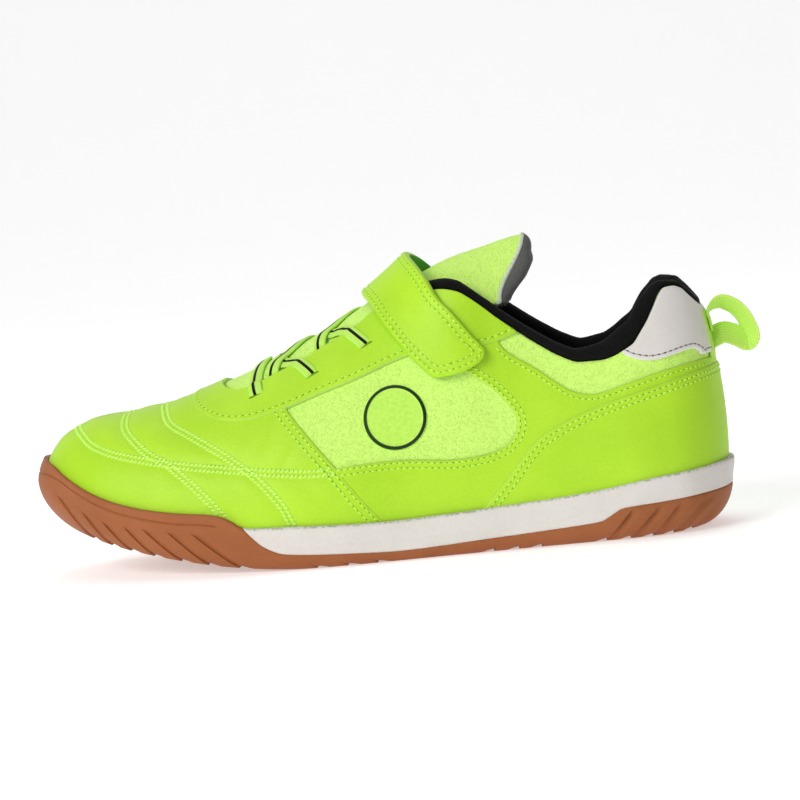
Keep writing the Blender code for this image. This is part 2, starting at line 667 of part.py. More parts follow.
def make_laces():
    lift = (SEAM_GAP + PANEL_THICK + SEAM_GAP) / MM + 0.25
    width = LACE_WIDTH / MM
    slots = [uv_at(s.along, s.height) for s in LACE_SLOTS]
    steps = np.linspace(-1, 1, 9)
    u, v = slots[0]
    bar = np.array([(u, v * s) for s in steps])
    thicken(band("lace_bar", bar, width, lift - throat_dip(bar)), LACE_THICK, 1)
    for number, (leave, slot) in enumerate(zip(LACE_LEAVES, slots[1:])):
        name = ("lace_cross_lower", "lace_cross_upper")[number]
        start_u = float(u_of(leave.along))
        start_v = float(v_at_height(start_u, topline_at(leave.along))) + 0.015
        share = (steps + 1) / 2
        runs = []
        for side, raise_by in ((1, 0.0), (-1, 0.4)):
            line = np.array([
                (start_u + (slot[0] - start_u) * s, side * (-start_v + (slot[1] + start_v) * s))
                for s in share
            ])
            label = name if side == 1 else name + "_under"
            run = band(label, line, width, lift + raise_by - throat_dip(line))
            thicken(run, LACE_THICK, 1)
            runs.append(run)
        combine(runs[0], runs[1], "UNION")


def make_strap():
    rows = []
    for part in STRAP:
        u_f, v_f = uv_at(part.front_along, part.front_height)
        u_r, v_r = uv_at(part.rear_along, part.rear_height)
        rows.append((u_f, v_f, part.lift_front, u_r, v_r, part.lift_rear))
    crest = (
        float(u_of(STRAP_CREST.front_along)), 0.0, STRAP_CREST.lift_front,
        float(u_of(STRAP_CREST.rear_along)), 0.0, STRAP_CREST.lift_rear,
    )
    lateral = np.array(rows, float)
    medial = lateral[::-1].copy()
    lateral[:, [1, 4]] *= -1
    table = smooth_path(np.vstack([lateral, crest, medial]), 2)
    sheet = []
    for u_f, v_f, lift_f, u_r, v_r, lift_r in table:
        share = np.linspace(0, 1, 5)
        sheet.append(skin(u_f + (u_r - u_f) * share, v_f + (v_r - v_f) * share, lift_f + (lift_r - lift_f) * share))
    thicken(new_object("strap", grid_mesh("strap", [np.array(sheet)[:, ::-1]])), STRAP_THICK, 1)


def make_loop():
    low, high = LOOP_STRIP
    stand = (SEAM_GAP + PANEL_THICK + SEAM_GAP + LOOP_THICK / 2) / MM
    strip = [skin(1.0, v_at_height(1.0, h), stand) for h in np.linspace(low, high, 4)]
    path = smooth_path([(p[0], p[2]) for p in strip] + [(e.along, e.height) for e in LOOP], 2)
    along = np.gradient(path, axis=0)
    along = along / np.linalg.norm(along, axis=1, keepdims=True)
    out = np.stack([-along[:, 1], along[:, 0]], axis=1) * LOOP_THICK / MM / 2
    middle = float(centre_at(UPPER_HEEL))
    half = LOOP_WIDTH / MM / 2
    rings = []
    for number, (spot, side) in enumerate(zip(path, out)):
        free = np.clip((number - 6) / 4, 0, 1) * np.clip((len(path) - 1 - number) / 4, 0, 1)
        twist = LOOP_TWIST * free
        flat = np.array([side[0], 0, side[1]])
        across = np.array([0, math.cos(twist), 0]) + flat / np.linalg.norm(flat) * math.sin(twist)
        thick = np.array([0, -math.sin(twist), 0]) * np.linalg.norm(flat) + flat * math.cos(twist)
        middle_point = np.array([spot[0], middle, spot[1]])
        ring = [middle_point + across * half * a + thick * b for a, b in ((-1, -1), (1, -1), (1, 1), (-1, 1))]
        rings.append(ring)
    new_object("pull_loop", outward(grid_mesh("pull_loop", [np.array(rings)], close_rings=True)))


for start_object in list(bpy.data.objects):
    bpy.data.objects.remove(start_object)

make_sole()
make_insole()
make_upper()
make_panels()
make_collar()
make_tongue()
make_laces()
make_strap()
make_loop()
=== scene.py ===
"""Looks of an indoor court shoe: mesh, soft panels, stitching, rubber, laces, strap and light.

The tables are millimetres from the toe datum, as in the part's source. place() turns them
into metres in the part's frame: toe to -X, outer side to -Y, floor at Z = 0.
"""

import math
from collections import namedtuple

import bmesh
import bpy
import numpy as np
from mathutils import Matrix, Vector
from mathutils.kdtree import KDTree


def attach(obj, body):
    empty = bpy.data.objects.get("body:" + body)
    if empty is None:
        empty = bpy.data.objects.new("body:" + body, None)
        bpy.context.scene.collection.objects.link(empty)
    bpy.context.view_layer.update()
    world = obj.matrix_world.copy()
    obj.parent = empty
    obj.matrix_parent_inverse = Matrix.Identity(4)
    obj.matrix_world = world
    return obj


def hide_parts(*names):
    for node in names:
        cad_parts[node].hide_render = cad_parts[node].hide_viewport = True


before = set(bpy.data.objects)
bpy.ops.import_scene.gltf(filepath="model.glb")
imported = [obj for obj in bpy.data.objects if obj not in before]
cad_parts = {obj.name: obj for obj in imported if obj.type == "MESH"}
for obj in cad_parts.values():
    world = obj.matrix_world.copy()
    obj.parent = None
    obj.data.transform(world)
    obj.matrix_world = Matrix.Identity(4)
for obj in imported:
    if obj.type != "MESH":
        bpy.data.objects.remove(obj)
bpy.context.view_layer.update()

MM = 0.001
BODY = "root"

# Sizes shared with the part's source
SOLE_LENGTH = 231.0
LOOP_REACH = 12.9
BUMPER_LEAD = 2.2
DATUM_X = -(SOLE_LENGTH + LOOP_REACH) / 2 + BUMPER_LEAD
TOE_SPRING = 18.0
SPRING_START = 93.5
UPPER_WALL = 2.0
SEAM_GAP = 0.35
INSOLE_THICK = 3.2
RIM_THICK = 1.8

# Sections of the last
Section = namedtuple("Section", "along half centre crest_y under crest rise square belly")
SECTIONS = [
    Section(3.5, 0.0, 6.0, 5.0, 7.5, 50.2, 3.6, 2.5, 0.10),
    Section(8, 14.6, 5.4, 5.0, 7.6, 50.2, 3.5, 2.5, 0.10),
    Section(14, 21.2, 4.6, 5.0, 7.7, 50.2, 3.3, 2.5, 0.09),
    Section(24, 27.8, 3.0, 4.8, 7.8, 50.3, 3.0, 2.4, 0.07),
    Section(46, 34.4, 1.4, 4.0, 8.0, 53.4, 2.5, 2.3, 0.05),
    Section(69, 37.9, 0.2, 4.0, 8.4, 60.8, 2.2, 2.2, 0.05),
    Section(84, 38.6, 0.0, 4.0, 8.6, 67.2, 2.1, 2.1, 0.05),
    Section(104, 36.7, -1.0, 4.0, 8.8, 76.2, 2.1, 2.1, 0.05),
    Section(126, 32.8, -1.5, 3.0, 9.6, 90.0, 2.1, 2.0, 0.04),
    Section(142, 30.4, -1.4, 2.0, 10.2, 103.0, 2.3, 2.4, 0.04),
    Section(156, 29.3, -0.8, 1.4, 10.8, 115.0, 2.0, 1.75, 0.04),
    Section(172, 28.8, 0.0, 1.0, 11.6, 125.0, 1.75, 1.4, 0.05),
    Section(196, 28.5, 0.8, 1.0, 12.6, 136.0, 1.7, 1.35, 0.05),
    Section(209.5, 25.2, 1.0, 1.0, 13.2, 142.0, 1.85, 1.4, 0.05),
    Section(219.5, 17.6, 1.0, 1.0, 13.5, 144.0, 2.1, 1.55, 0.05),
    Section(225.7, 0.0, 1.0, 1.0, 13.6, 145.0, 2.2, 1.6, 0.05),
]

# Lines in side view: throat and collar, rim of the sole, lower edge of the white midsole
Edge = namedtuple("Edge", "along height")
TOPLINE = [
    Edge(40, 58.0), Edge(56, 60.0), Edge(61, 59.0), Edge(65, 57.6), Edge(69, 57.0),
    Edge(74.5, 58.2), Edge(84, 61.8), Edge(91.6, 64.9), Edge(100.7, 69.4), Edge(111, 74.8),
    Edge(118, 79.6), Edge(124, 82.0), Edge(132, 84.2), Edge(140, 85.2), Edge(145.3, 84.1),
    Edge(148, 82.4), Edge(153, 78.5), Edge(158.3, 74.1), Edge(164, 69.8), Edge(171, 64.8),
    Edge(177.3, 60.9), Edge(183.7, 58.5), Edge(190.4, 58.5), Edge(195.5, 59.6), Edge(199, 61.2),
    Edge(202.4, 63.0), Edge(205, 65.9), Edge(208.1, 69.5), Edge(211.4, 74.0), Edge(214.2, 78.0),
    Edge(216.2, 79.7), Edge(218.5, 79.9), Edge(220.6, 79.0), Edge(222.4, 76.4), Edge(224.2, 73.6),
    Edge(225.7, 71.4),
]
RIM = [
    Edge(3.5, 38.0), Edge(8, 36.6), Edge(12, 34.2), Edge(17, 31.3), Edge(23, 28.2),
    Edge(30, 25.4), Edge(42, 22.4), Edge(52, 21.0), Edge(58, 20.5), Edge(62, 19.9),
    Edge(65, 19.1), Edge(67.7, 17.6), Edge(70.2, 15.9), Edge(73, 15.2), Edge(85, 14.8),
    Edge(102, 14.1), Edge(118, 13.7), Edge(135, 14.1), Edge(152, 14.9), Edge(172, 16.1),
    Edge(186, 17.4), Edge(203, 19.8), Edge(218, 21.2), Edge(225.7, 22.2),
]
MIDSOLE_EDGE = [
    Edge(69.6, 18.5), Edge(71, 15.2), Edge(73.6, 11.9), Edge(76.5, 8.9), Edge(79.6, 7.1),
    Edge(83.6, 5.7), Edge(92, 4.9), Edge(106, 4.1), Edge(124, 3.5), Edge(152, 4.8),
    Edge(169, 5.7), Edge(184, 6.8), Edge(188, 8.2), Edge(191.5, 10.2), Edge(195, 11.0),
    Edge(210, 11.9), Edge(222, 12.8), Edge(240, 14.0),
]

# Where the throat opens on the crest
THROAT_FRONT = 61.1

# Edges of the overlays in side view
VAMP_EDGE = [
    Edge(86.9, 51.1), Edge(90.3, 46.6), Edge(95.9, 39.6), Edge(102.1, 31.9), Edge(105.7, 27.1),
    Edge(109.2, 22.2), Edge(112.8, 17.7), Edge(117.5, 12.0),
]
EYESTAY_EDGE = [
    Edge(53.2, 59.5), Edge(53.9, 55.2), Edge(57, 51.7), Edge(61.8, 49.4), Edge(67, 48.1),
    Edge(75.5, 48.3), Edge(86.9, 51.1), Edge(99.1, 55.2), Edge(109.3, 58.4), Edge(125.9, 64.4),
    Edge(138.4, 66.3), Edge(151, 66.4), Edge(156.9, 67.3), Edge(163.4, 69.5),
]
WINDOW_EDGE = [
    Edge(102.1, 31.9), Edge(118.3, 32.6), Edge(129.1, 32.1), Edge(139, 31.2), Edge(147.2, 31.5),
    Edge(153.4, 32.6), Edge(158.6, 35.4), Edge(161.1, 40.2), Edge(160.2, 44.4), Edge(155.7, 50.6),
    Edge(151.4, 54.5), Edge(146, 58.4), Edge(141.6, 61.9), Edge(138.4, 66.3),
]
COLLAR_MESH_EDGE = [
    Edge(156.9, 67.3), Edge(159.4, 64.0), Edge(163.7, 60.9), Edge(168.9, 57.4), Edge(174, 53.4),
    Edge(179.5, 49.6), Edge(185.2, 48.1), Edge(190.5, 48.7), Edge(199.5, 51.1), Edge(213, 54.2),
    Edge(225, 55.5), Edge(238, 55.8),
]
COUNTER_EDGE = [
    Edge(144.5, 11.0), Edge(148.4, 14.9), Edge(152.7, 19.5), Edge(157.3, 24.4), Edge(162.2, 30.1),
    Edge(168, 35.6), Edge(176.7, 40.2), Edge(190, 44.8), Edge(206.3, 49.0), Edge(224, 53.0),
    Edge(238, 54.2),
]
HEEL_TAB_EDGE = [
    Edge(194.4, 61.4), Edge(197, 59.6), Edge(200.5, 57.9), Edge(205.5, 56.9), Edge(210.5, 57.5),
    Edge(216, 58.8), Edge(219, 59.0), Edge(220.8, 57.8), Edge(222.4, 56.7), Edge(238, 56.7),
]

# Sewn lines over the vamp: where each meets the crest, then down to the sole
VampSeam = namedtuple("VampSeam", "crest_along edges")
VAMP_SEAMS = [
    VampSeam(13.2, [
        Edge(16.4, 46.1), Edge(21.9, 42.6), Edge(32.1, 39.4), Edge(51.7, 35.7), Edge(71.8, 33.0),
        Edge(90.3, 30.9), Edge(101, 30.6),
    ]),
    VampSeam(31, [
        Edge(31.4, 48.6), Edge(34.1, 45.1), Edge(40.1, 40.0), Edge(47.5, 35.9), Edge(58.1, 26.7),
        Edge(64.8, 19.0),
    ]),
    VampSeam(43.5, [
        Edge(45, 51.8), Edge(47.6, 48.3), Edge(55.7, 44.0), Edge(67, 37.4), Edge(76.7, 29.9),
        Edge(83.8, 21.6), Edge(87, 14.5),
    ]),
]

# Tongue beyond the throat: crest, half width, hang of its sides, sweep of its end
TonguePart = namedtuple("TonguePart", "along crest half hang sweep")
TONGUE = [
    TonguePart(54, 54.0, 13.0, 7.0, 0.0),
    TonguePart(118, 82.6, 12.5, 6.0, 0.0),
    TonguePart(131, 89.4, 12.2, 9.0, 1.0),
    TonguePart(142, 93.9, 12.8, 12.5, 3.0),
    TonguePart(153, 97.0, 14.2, 17.5, 6.0),
    TonguePart(162, 99.5, 14.6, 20.5, 8.2),
    TonguePart(166.4, 100.2, 14.2, 21.0, 8.4),
]
TONGUE_THICK = 3.2
TONGUE_END_THICK = 6.0
TONGUE_SIDE_THICK = 0.6
PIPING_HALF = (0.65, 0.5)
Roll = namedtuple("Roll", "share reach")
TONGUE_ROLL = [
    Roll(0, 1.9), Roll(0.41, 3.1), Roll(0.65, 6.0), Roll(0.79, 6.4), Roll(0.88, 5.2),
    Roll(0.98, 3.0), Roll(1, 2.6),
]

# Strap edges in side view from its free end to the crest, how far it stands off, its rounded end
StrapPart = namedtuple("StrapPart", "front_along front_height rear_along rear_height lift_front lift_rear")
STRAP = [
    StrapPart(137.2, 54.4, 157.0, 59.4, 1.9, 1.9),
    StrapPart(131.2, 61.7, 151.1, 66.3, 1.9, 1.9),
    StrapPart(126.8, 66.2, 147.8, 70.4, 1.9, 1.9),
    StrapPart(123.2, 70.7, 142.9, 77.6, 2.0, 2.1),
    StrapPart(118.4, 77.4, 138.1, 85.0, 2.2, 2.6),
]
STRAP_CREST = StrapPart(113.6, 0.0, 130.8, 0.0, 2.2, 3.2)
STRAP_END = [
    Edge(118.4, 77.4), Edge(123.2, 70.7), Edge(126.8, 66.2), Edge(131.2, 61.7), Edge(134, 58.8),
    Edge(135.4, 57.8), Edge(137.2, 57.2), Edge(141.2, 57.6), Edge(145.8, 58.8), Edge(149.5, 60.5),
    Edge(151.6, 62.2), Edge(152.2, 64.3), Edge(151.1, 66.3), Edge(147.8, 70.4), Edge(142.9, 77.6),
    Edge(138.1, 85),
]
STRAP_THICK = 2.3
STRAP_ROUND = 1.0
STRAP_RIM = 0.5

# Laces: slots on each side, then the runs of the bar and of both crossings over the throat
LACE_SLOTS = [Edge(76.8, 55.0), Edge(96.1, 60.4), Edge(114.2, 68.6)]
Run = namedtuple("Run", "along v")
LACE_BAR = [Run(76.8, -0.39), Run(75.9, -0.296), Run(75.8, -0.205), Run(76.3, -0.109), Run(77.2, 0.0)]
LACE_OVER = [
    [Run(80.8, -0.31), Run(82.2, -0.253), Run(83.6, -0.208), Run(85.2, -0.159), Run(87.3, -0.112),
     Run(89.8, -0.04), Run(92, 0.08), Run(94.6, 0.25), Run(96.1, 0.4)],
    [Run(97.4, -0.275), Run(98.5, -0.214), Run(99.6, -0.168), Run(101.2, -0.118), Run(103.6, -0.066),
     Run(107, 0.03), Run(110.2, 0.15), Run(112.8, 0.28), Run(114.2, 0.4)],
]
LACE_UNDER = [
    [Run(81, 0.31), Run(81.4, 0.16), Run(82.2, 0.0), Run(83.4, -0.14), Run(85.3, -0.222), Run(87.1, -0.246),
     Run(88.8, -0.262), Run(90.4, -0.288), Run(92, -0.321), Run(94.1, -0.366), Run(96.1, -0.406)],
    [Run(97.8, 0.28), Run(98.4, 0.14), Run(99.4, 0.0), Run(100.6, -0.12), Run(102.2, -0.186), Run(104, -0.2),
     Run(105.8, -0.217), Run(107.8, -0.255), Run(109.8, -0.306), Run(112.1, -0.36), Run(114.2, -0.402)],
]
LACE_WIDTH = 4.6
LACE_THICK = 1.0
LACE_LIFT = 0.75
SLOT_WAY = np.array([1.0, 0, 0.6])
SLOT_HALF = (2.35, 0.4)
SLOT_SINK = 1.9
SLOT_REACH = 0.7

# Pull loop in side view, after the strip that lies on the heel, and how far it turns to the side
LOOP = [
    Edge(226.7, 71.4), Edge(229.5, 72.4), Edge(233.2, 70.8), Edge(236.0, 67.7), Edge(237.8, 63.7),
    Edge(238.3, 60.5), Edge(237.0, 59.0), Edge(234.5, 60.4), Edge(232.0, 61.7), Edge(229.4, 62.4),
    Edge(227.0, 61.6), Edge(224.8, 60.6),
]
LOOP_STRIP = (63.0, 69.0)
HEEL_TAPE = (53.0, 70.2)
HEEL_TAPE_WRAP = 1.0
HEEL_TAPE_STEP = 54.4
HEEL_TAPE_THICK = 0.85
LOOP_TWIST = math.radians(-36)
LOOP_RETURN_TWIST = math.radians(-46)
LOOP_WIDTH = 9.0
LOOP_THICK = 1.0

# Padded collar: height above the shell's edge, depth inwards
Pad = namedtuple("Pad", "above depth")
COLLAR_PROFILE = [
    Pad(0.4, 0.3), Pad(2.0, -0.4), Pad(3.6, 0.5), Pad(4.5, 2.4), Pad(4.0, 4.6),
    Pad(1.6, 6.2), Pad(-6.0, 6.8), Pad(-15.0, 5.8), Pad(-20.0, 3.6), Pad(-20.0, 2.4),
    Pad(-9.0, 2.4), Pad(0.4, 2.4),
]
COLLAR_FRONT = 131.0
COLLAR_FRONT_PADDING = 0.5
COLLAR_BACKING = 2.4
Stand = namedtuple("Stand", "along share")
COLLAR_STAND = [
    Stand(131, 1.0), Stand(182, 1.05), Stand(190, 1.3), Stand(199, 1.75), Stand(207, 1.85), Stand(212, 1.3),
    Stand(216, 0.66), Stand(219, 0.56), Stand(221.5, 0.85), Stand(223.5, 1.1), Stand(225.7, 1.15),
]

# Height of each overlay's face above the mesh; feathered edges sit just on it
SIT = 0.05
EDGE_ROUND = 0.55
TOP_OF = {"quarter": 0.85, "vamp": 1.05, "eyestay": 1.5, "counter": 1.45, "tab": 1.15}
TUCK = 1.4
THREAD_LIFT = 0.02
ROPE_SHIFT = 0.85
COLLAR_ROW = 1.7

# Behind every heel, to close side-view outlines
BEHIND_HEEL = 250

# Columns of the values on a patch of the wall, on the strap and on the sole
WALL_TOP, PANEL_EDGE, BESIDE_EDGE = 2, 5, 6
STRAP_EDGE = 3
FOAM_EDGE, BELOW_RIM, TOE_GAP, HEEL_GAP, TREAD_GAP = range(8, 13)


# Curves and the surface of the upper


def curve(table, column, key="along"):
    """Smooth curve through one column of a table, held at its ends."""
    xs = np.array([getattr(row, key) for row in table], float)
    ys = np.array([column(row) for row in table], float)
    step = np.diff(xs)
    slope = np.diff(ys) / step
    tangent = np.zeros(len(xs))
    tangent[0] = slope[0]
    tangent[-1] = slope[-1]
    for i in range(1, len(xs) - 1):
        if slope[i - 1] * slope[i] > 0:
            near = 2 * step[i] + step[i - 1]
            far = step[i] + 2 * step[i - 1]
            tangent[i] = (near + far) / (near / slope[i - 1] + far / slope[i])

    def at(x):
        x = np.clip(x, xs[0], xs[-1])
        i = np.clip(np.searchsorted(xs, x, side="right") - 1, 0, len(step) - 1)
        t = (x - xs[i]) / step[i]
        rise = ys[i] * (1 + 2 * t) * (1 - t) ** 2 + ys[i + 1] * t * t * (3 - 2 * t)
        return rise + step[i] * t * (1 - t) * (tangent[i] * (1 - t) - tangent[i + 1] * t)

    return at


half_squared = curve(SECTIONS, lambda s: s.half**2)
centre_at = curve(SECTIONS, lambda s: s.centre)
crest_y_at = curve(SECTIONS, lambda s: s.crest_y)
under_at = curve(SECTIONS, lambda s: s.under)
crest_at = curve(SECTIONS, lambda s: s.crest)
rise_at = curve(SECTIONS, lambda s: s.rise)
square_at = curve(SECTIONS, lambda s: s.square)
belly_at = curve(SECTIONS, lambda s: s.belly)
topline_at = curve(TOPLINE, lambda e: e.height)
rim_at = curve(RIM, lambda e: e.height)

UPPER_TOE = SECTIONS[0].along
UPPER_HEEL = SECTIONS[-1].along
MID_ALONG = (UPPER_TOE + UPPER_HEEL) / 2
HALF_ALONG = (UPPER_HEEL - UPPER_TOE) / 2


def floor_at(along):
    """Height of the tread: flat to the ball, then the toe spring."""
    lift = np.clip((SPRING_START - along) / SPRING_START, 0, None)
    return TOE_SPRING * lift**1.8


def bed_at(along):
    return floor_at(along) + under_at(along)


def along_of(u):
    return MID_ALONG - HALF_ALONG * np.cos(np.pi * np.asarray(u, float))


def u_of(along):
    return np.arccos(np.clip((MID_ALONG - along) / HALF_ALONG, -1, 1)) / np.pi


def axis_of(along):
    """Where the plane of a section meets the crest line; it fans out at toe and heel."""
    q = (along - MID_ALONG) / HALF_ALONG
    return MID_ALONG + HALF_ALONG * (q - np.where(q < 0, 0.24, 0.30) * q**3)


def last_point(u, v):
    """Bare last at u from toe 0 to heel 1, v from lateral bed -1 over the crest to +1."""
    u, v = np.broadcast_arrays(np.asarray(u, float), np.asarray(v, float))
    v = np.where((u < 0) | (u > 1), -v, v)
    u = np.where(u < 0, -u, np.where(u > 1, 2 - u, u))
    along = along_of(u)
    axis = axis_of(along)
    angle = (1 - np.abs(v)) * np.pi / 2
    share = np.clip(np.sin(angle), 0, 1) ** (2 / rise_at(along))
    reach = np.clip(np.cos(angle), 0, 1) ** (2 / square_at(along))
    reach = reach + belly_at(along) * 9.48 * share * (1 - share) ** 3
    edge_y = centre_at(along) + np.where(v < 0, -1, 1) * np.sqrt(np.clip(half_squared(along), 0, None))
    crest_y = crest_y_at(along)
    bed = bed_at(along)
    x = axis + (along - axis) * reach
    y = crest_y + (edge_y - crest_y) * reach
    z = bed + (crest_at(axis) - bed) * share
    return np.stack([x, y, z], axis=-1)


def unit(vectors):
    return vectors / np.maximum(np.linalg.norm(vectors, axis=-1, keepdims=True), 1e-12)


def skin_normal(u, v):
    u, v = np.broadcast_arrays(np.asarray(u, float), np.asarray(v, float))
    h = 1e-3
    near = np.where(np.abs(v) < h, np.clip(u, 0.03, 0.97), u)
    across = last_point(near, np.minimum(v + h, 1)) - last_point(near, np.maximum(v - h, -1))
    down = last_point(near + h, v) - last_point(near - h, v)
    return unit(np.cross(down, across))


def skin(u, v, offset=0.0):
    """Outside of the upper in millimetres, moved outwards by offset."""
    return last_point(u, v) + skin_normal(u, v) * np.asarray(offset, float)[..., None]


def v_at_height(u, height):
    """Size of v where the section at u reaches a height."""
    along = along_of(u)
    bed = bed_at(along)
    share = np.clip((height - bed) / (crest_at(axis_of(along)) - bed), 0, 1)
    return 1 - np.arcsin(share ** (rise_at(along) / 2)) * 2 / np.pi


def uv_at(along, height):
    """u and size of v of the wall point seen in side view at along and height."""
    along = np.asarray(along, float)
    u = u_of(along)
    for _ in range(12):
        v = v_at_height(u, height)
        u = u_of(along_of(u) + 0.9 * (along - last_point(u, -v)[..., 0]))
    return u, v_at_height(u, height)


def settle(points, u, v):
    """u and v of the surface points nearest to the given ones, from a first guess."""
    h = 1e-4
    for _ in range(8):
        miss = points - last_point(u, v)
        along = (last_point(u + h, v) - last_point(u - h, v)) / (2 * h)
        across = (last_point(u, v + h) - last_point(u, v - h)) / (2 * h)
        aa = np.sum(along * along, -1)
        bb = np.sum(across * across, -1)
        ab = np.sum(along * across, -1)
        ma = np.sum(along * miss, -1)
        mb = np.sum(across * miss, -1)
        det = np.maximum(aa * bb - ab * ab, 1e-9)
        u = np.clip(u + np.clip((bb * ma - ab * mb) / det, -0.01, 0.01), -0.9, 0.999)
        v = np.clip(v + np.clip((aa * mb - ab * ma) / det, -0.04, 0.04), -1, 1)
    return u, v


def place(points):
    """Millimetres from the toe datum to metres in the part's frame."""
    return (np.asarray(points, float) + np.array([DATUM_X, 0, 0])) * MM


def smooth_path(points, per_span=8):
    """Points of a smooth curve through the given ones."""
    points = np.asarray(points, float)
    ends = np.vstack([2 * points[0] - points[1], points, 2 * points[-1] - points[-2]])
    t = (np.arange(per_span) / per_span)[:, None]
    path = []
    for i in range(len(points) - 1):
        a, b, c, d = ends[i : i + 4]
        bend = t * t * (a - 2.5 * b + 2 * c - 0.5 * d) + t**3 * (1.5 * (b - c) + 0.5 * (d - a))
        path.append(b + 0.5 * t * (c - a) + bend)
    return np.vstack(path + [points[-1:]])


def edge_path(edges, per_span=6):
    return smooth_path([(e.along, e.height) for e in edges], per_span)


def smoothstep(x):
    x = np.clip(x, 0, 1)
    return x * x * (3 - 2 * x)


def lengths(points):
    """Distance run along rows of points."""
    step = np.linalg.norm(np.diff(points, axis=0), axis=-1)
    return np.concatenate([np.zeros((1,) + step.shape[1:]), np.cumsum(step, axis=0)])


# Triangles with values at their corners


def grid_tris(rows, columns):
    index = np.arange(rows * columns).reshape(rows, columns)
    a, b, c, d = index[:-1, :-1], index[1:, :-1], index[1:, 1:], index[:-1, 1:]
    return np.vstack([np.stack([a, b, c], -1).reshape(-1, 3), np.stack([a, c, d], -1).reshape(-1, 3)])


def split(values, tris, column, level, reach=1e9, snap=1e-6):
    """Cut triangles along the line where a column of their corners' values has a level."""
    f = values[:, column] - level
    near = np.abs(f) < snap
    f = np.where(near, 1e-6, f)
    values = values.copy()
    values[near, column] = level
    ends = np.stack([tris, np.roll(tris, -1, axis=1)], -1)
    cut = ((f[ends] > 0).sum(-1) == 1) & (np.abs(f[ends]).max(-1) < reach)
    if not cut.any():
        return values, tris
    unique, inverse = np.unique(np.sort(ends[cut], axis=1), axis=0, return_inverse=True)
    first, second = unique.T
    share = f[first] / (f[first] - f[second])
    fresh = values[first] + (values[second] - values[first]) * share[:, None]
    fresh[:, column] = level
    middle = np.zeros_like(tris)
    middle[cut] = len(values) + inverse.reshape(-1)
    count = cut.sum(1)
    parts = [tris[count == 0]]
    for cuts, start in ((1, cut.argmax(1)), (2, (~cut).argmax(1))):
        chosen = np.nonzero(count == cuts)[0]
        turn = (start[chosen, None] + np.arange(3)) % 3
        a, b, c = tris[chosen[:, None], turn].T
        ab, bc, ca = middle[chosen[:, None], turn].T
        pieces = ((a, ab, c), (ab, b, c)) if cuts == 1 else ((c, ca, bc), (ca, a, b), (ca, b, bc))
        parts.extend(np.stack(corners, 1) for corners in pieces)
    return np.vstack([values, fresh]), np.vstack(parts)


def keep_above(values, tris, column, level):
    """Cut at a level and keep what lies above it."""
    values, tris = split(values, tris, column, level)
    tris = tris[(values[tris, column] >= level - 1e-5).all(1)]
    return compact(values, tris)


def join(parts):
    """One set of values and triangles from several."""
    starts = np.cumsum([0] + [len(values) for values, _ in parts])
    tris = [part[1] + start for part, start in zip(parts, starts)]
    return np.vstack([values for values, _ in parts]), np.vstack(tris)


def compact(values, tris):
    """Drop the values that no triangle uses."""
    used, inverse = np.unique(tris, return_inverse=True)
    return values[used], inverse.reshape(-1, 3)


def contour(values, tris, column, level):
    """Lines along which a column of the corners' values has a level, as rows of values."""
    f = values[:, column] - level
    f = np.where(np.abs(f) < 1e-9, 1e-9, f)
    above = f[tris] > 0
    mixed = tris[(above.sum(1) > 0) & (above.sum(1) < 3)]
    links = {}
    for corners in mixed.tolist():
        ends = []
        for p, q in zip(corners, corners[1:] + corners[:1]):
            if (f[p] > 0) != (f[q] > 0):
                ends.append((min(p, q), max(p, q)))
        for here, there in (ends, ends[::-1]):
            links.setdefault(here, []).append(there)
    lines = []
    starts = [key for key, near in links.items() if len(near) == 1] + list(links)
    seen = set()
    for start in starts:
        if start in seen:
            continue
        run = [start]
        seen.add(start)
        while True:
            ahead = [key for key in links[run[-1]] if key not in seen]
            if not ahead:
                break
            run.append(ahead[0])
            seen.add(ahead[0])
        if len(run) > 4:
            p, q = np.array(run).T
            share = f[p] / (f[p] - f[q])
            lines.append(values[p] + (values[q] - values[p]) * share[:, None])
    return lines


def weld(points, tris, values, grain=0.002):
    """Join points that coincide, and drop the triangles that vanish."""
    keys = np.round(points / grain).astype(np.int64)
    _, first, inverse = np.unique(keys, axis=0, return_index=True, return_inverse=True)
    tris = inverse.reshape(-1)[tris]
    tris = tris[(tris[:, 0] != tris[:, 1]) & (tris[:, 1] != tris[:, 2]) & (tris[:, 2] != tris[:, 0])]
    _, same, count = np.unique(np.sort(tris, axis=1), axis=0, return_inverse=True, return_counts=True)
    return points[first], tris[count[same.reshape(-1)] == 1], values[first]


def shell(front, back, tris, values):
    """Closed skin between a front and a back set of points, with walls at open edges."""
    _, tris, order = weld(front, tris, np.arange(len(front)))
    front, back, values = front[order], back[order], values[order]
    n = len(front)
    start = tris.reshape(-1)
    end = np.roll(tris, -1, axis=1).reshape(-1)
    open_edge = ~np.isin(start * n + end, end * n + start)
    a, b = start[open_edge], end[open_edge]
    walls = np.vstack([np.stack([b, a, a + n], 1), np.stack([b, a + n, b + n], 1)])
    tris = np.vstack([tris, tris[:, ::-1] + n, walls])
    behind = np.concatenate([np.zeros(n), np.ones(n)])[:, None]
    values = np.hstack([np.vstack([values, values]), behind])
    return weld(np.vstack([front, back]), tris, values)


def face_out(points, tris, outwards):
    """Turn all triangles if most of them look against the given directions."""
    a, b, c = (points[tris[:, i]] for i in range(3))
    normal = np.cross(b - a, c - a)
    if np.sum(normal * outwards[tris[:, 0]]) < 0:
        return tris[:, ::-1]
    return tris


def put(name, data):
    """New object in the scene."""
    thing = bpy.data.objects.new(name, data)
    bpy.context.scene.collection.objects.link(thing)
    return thing


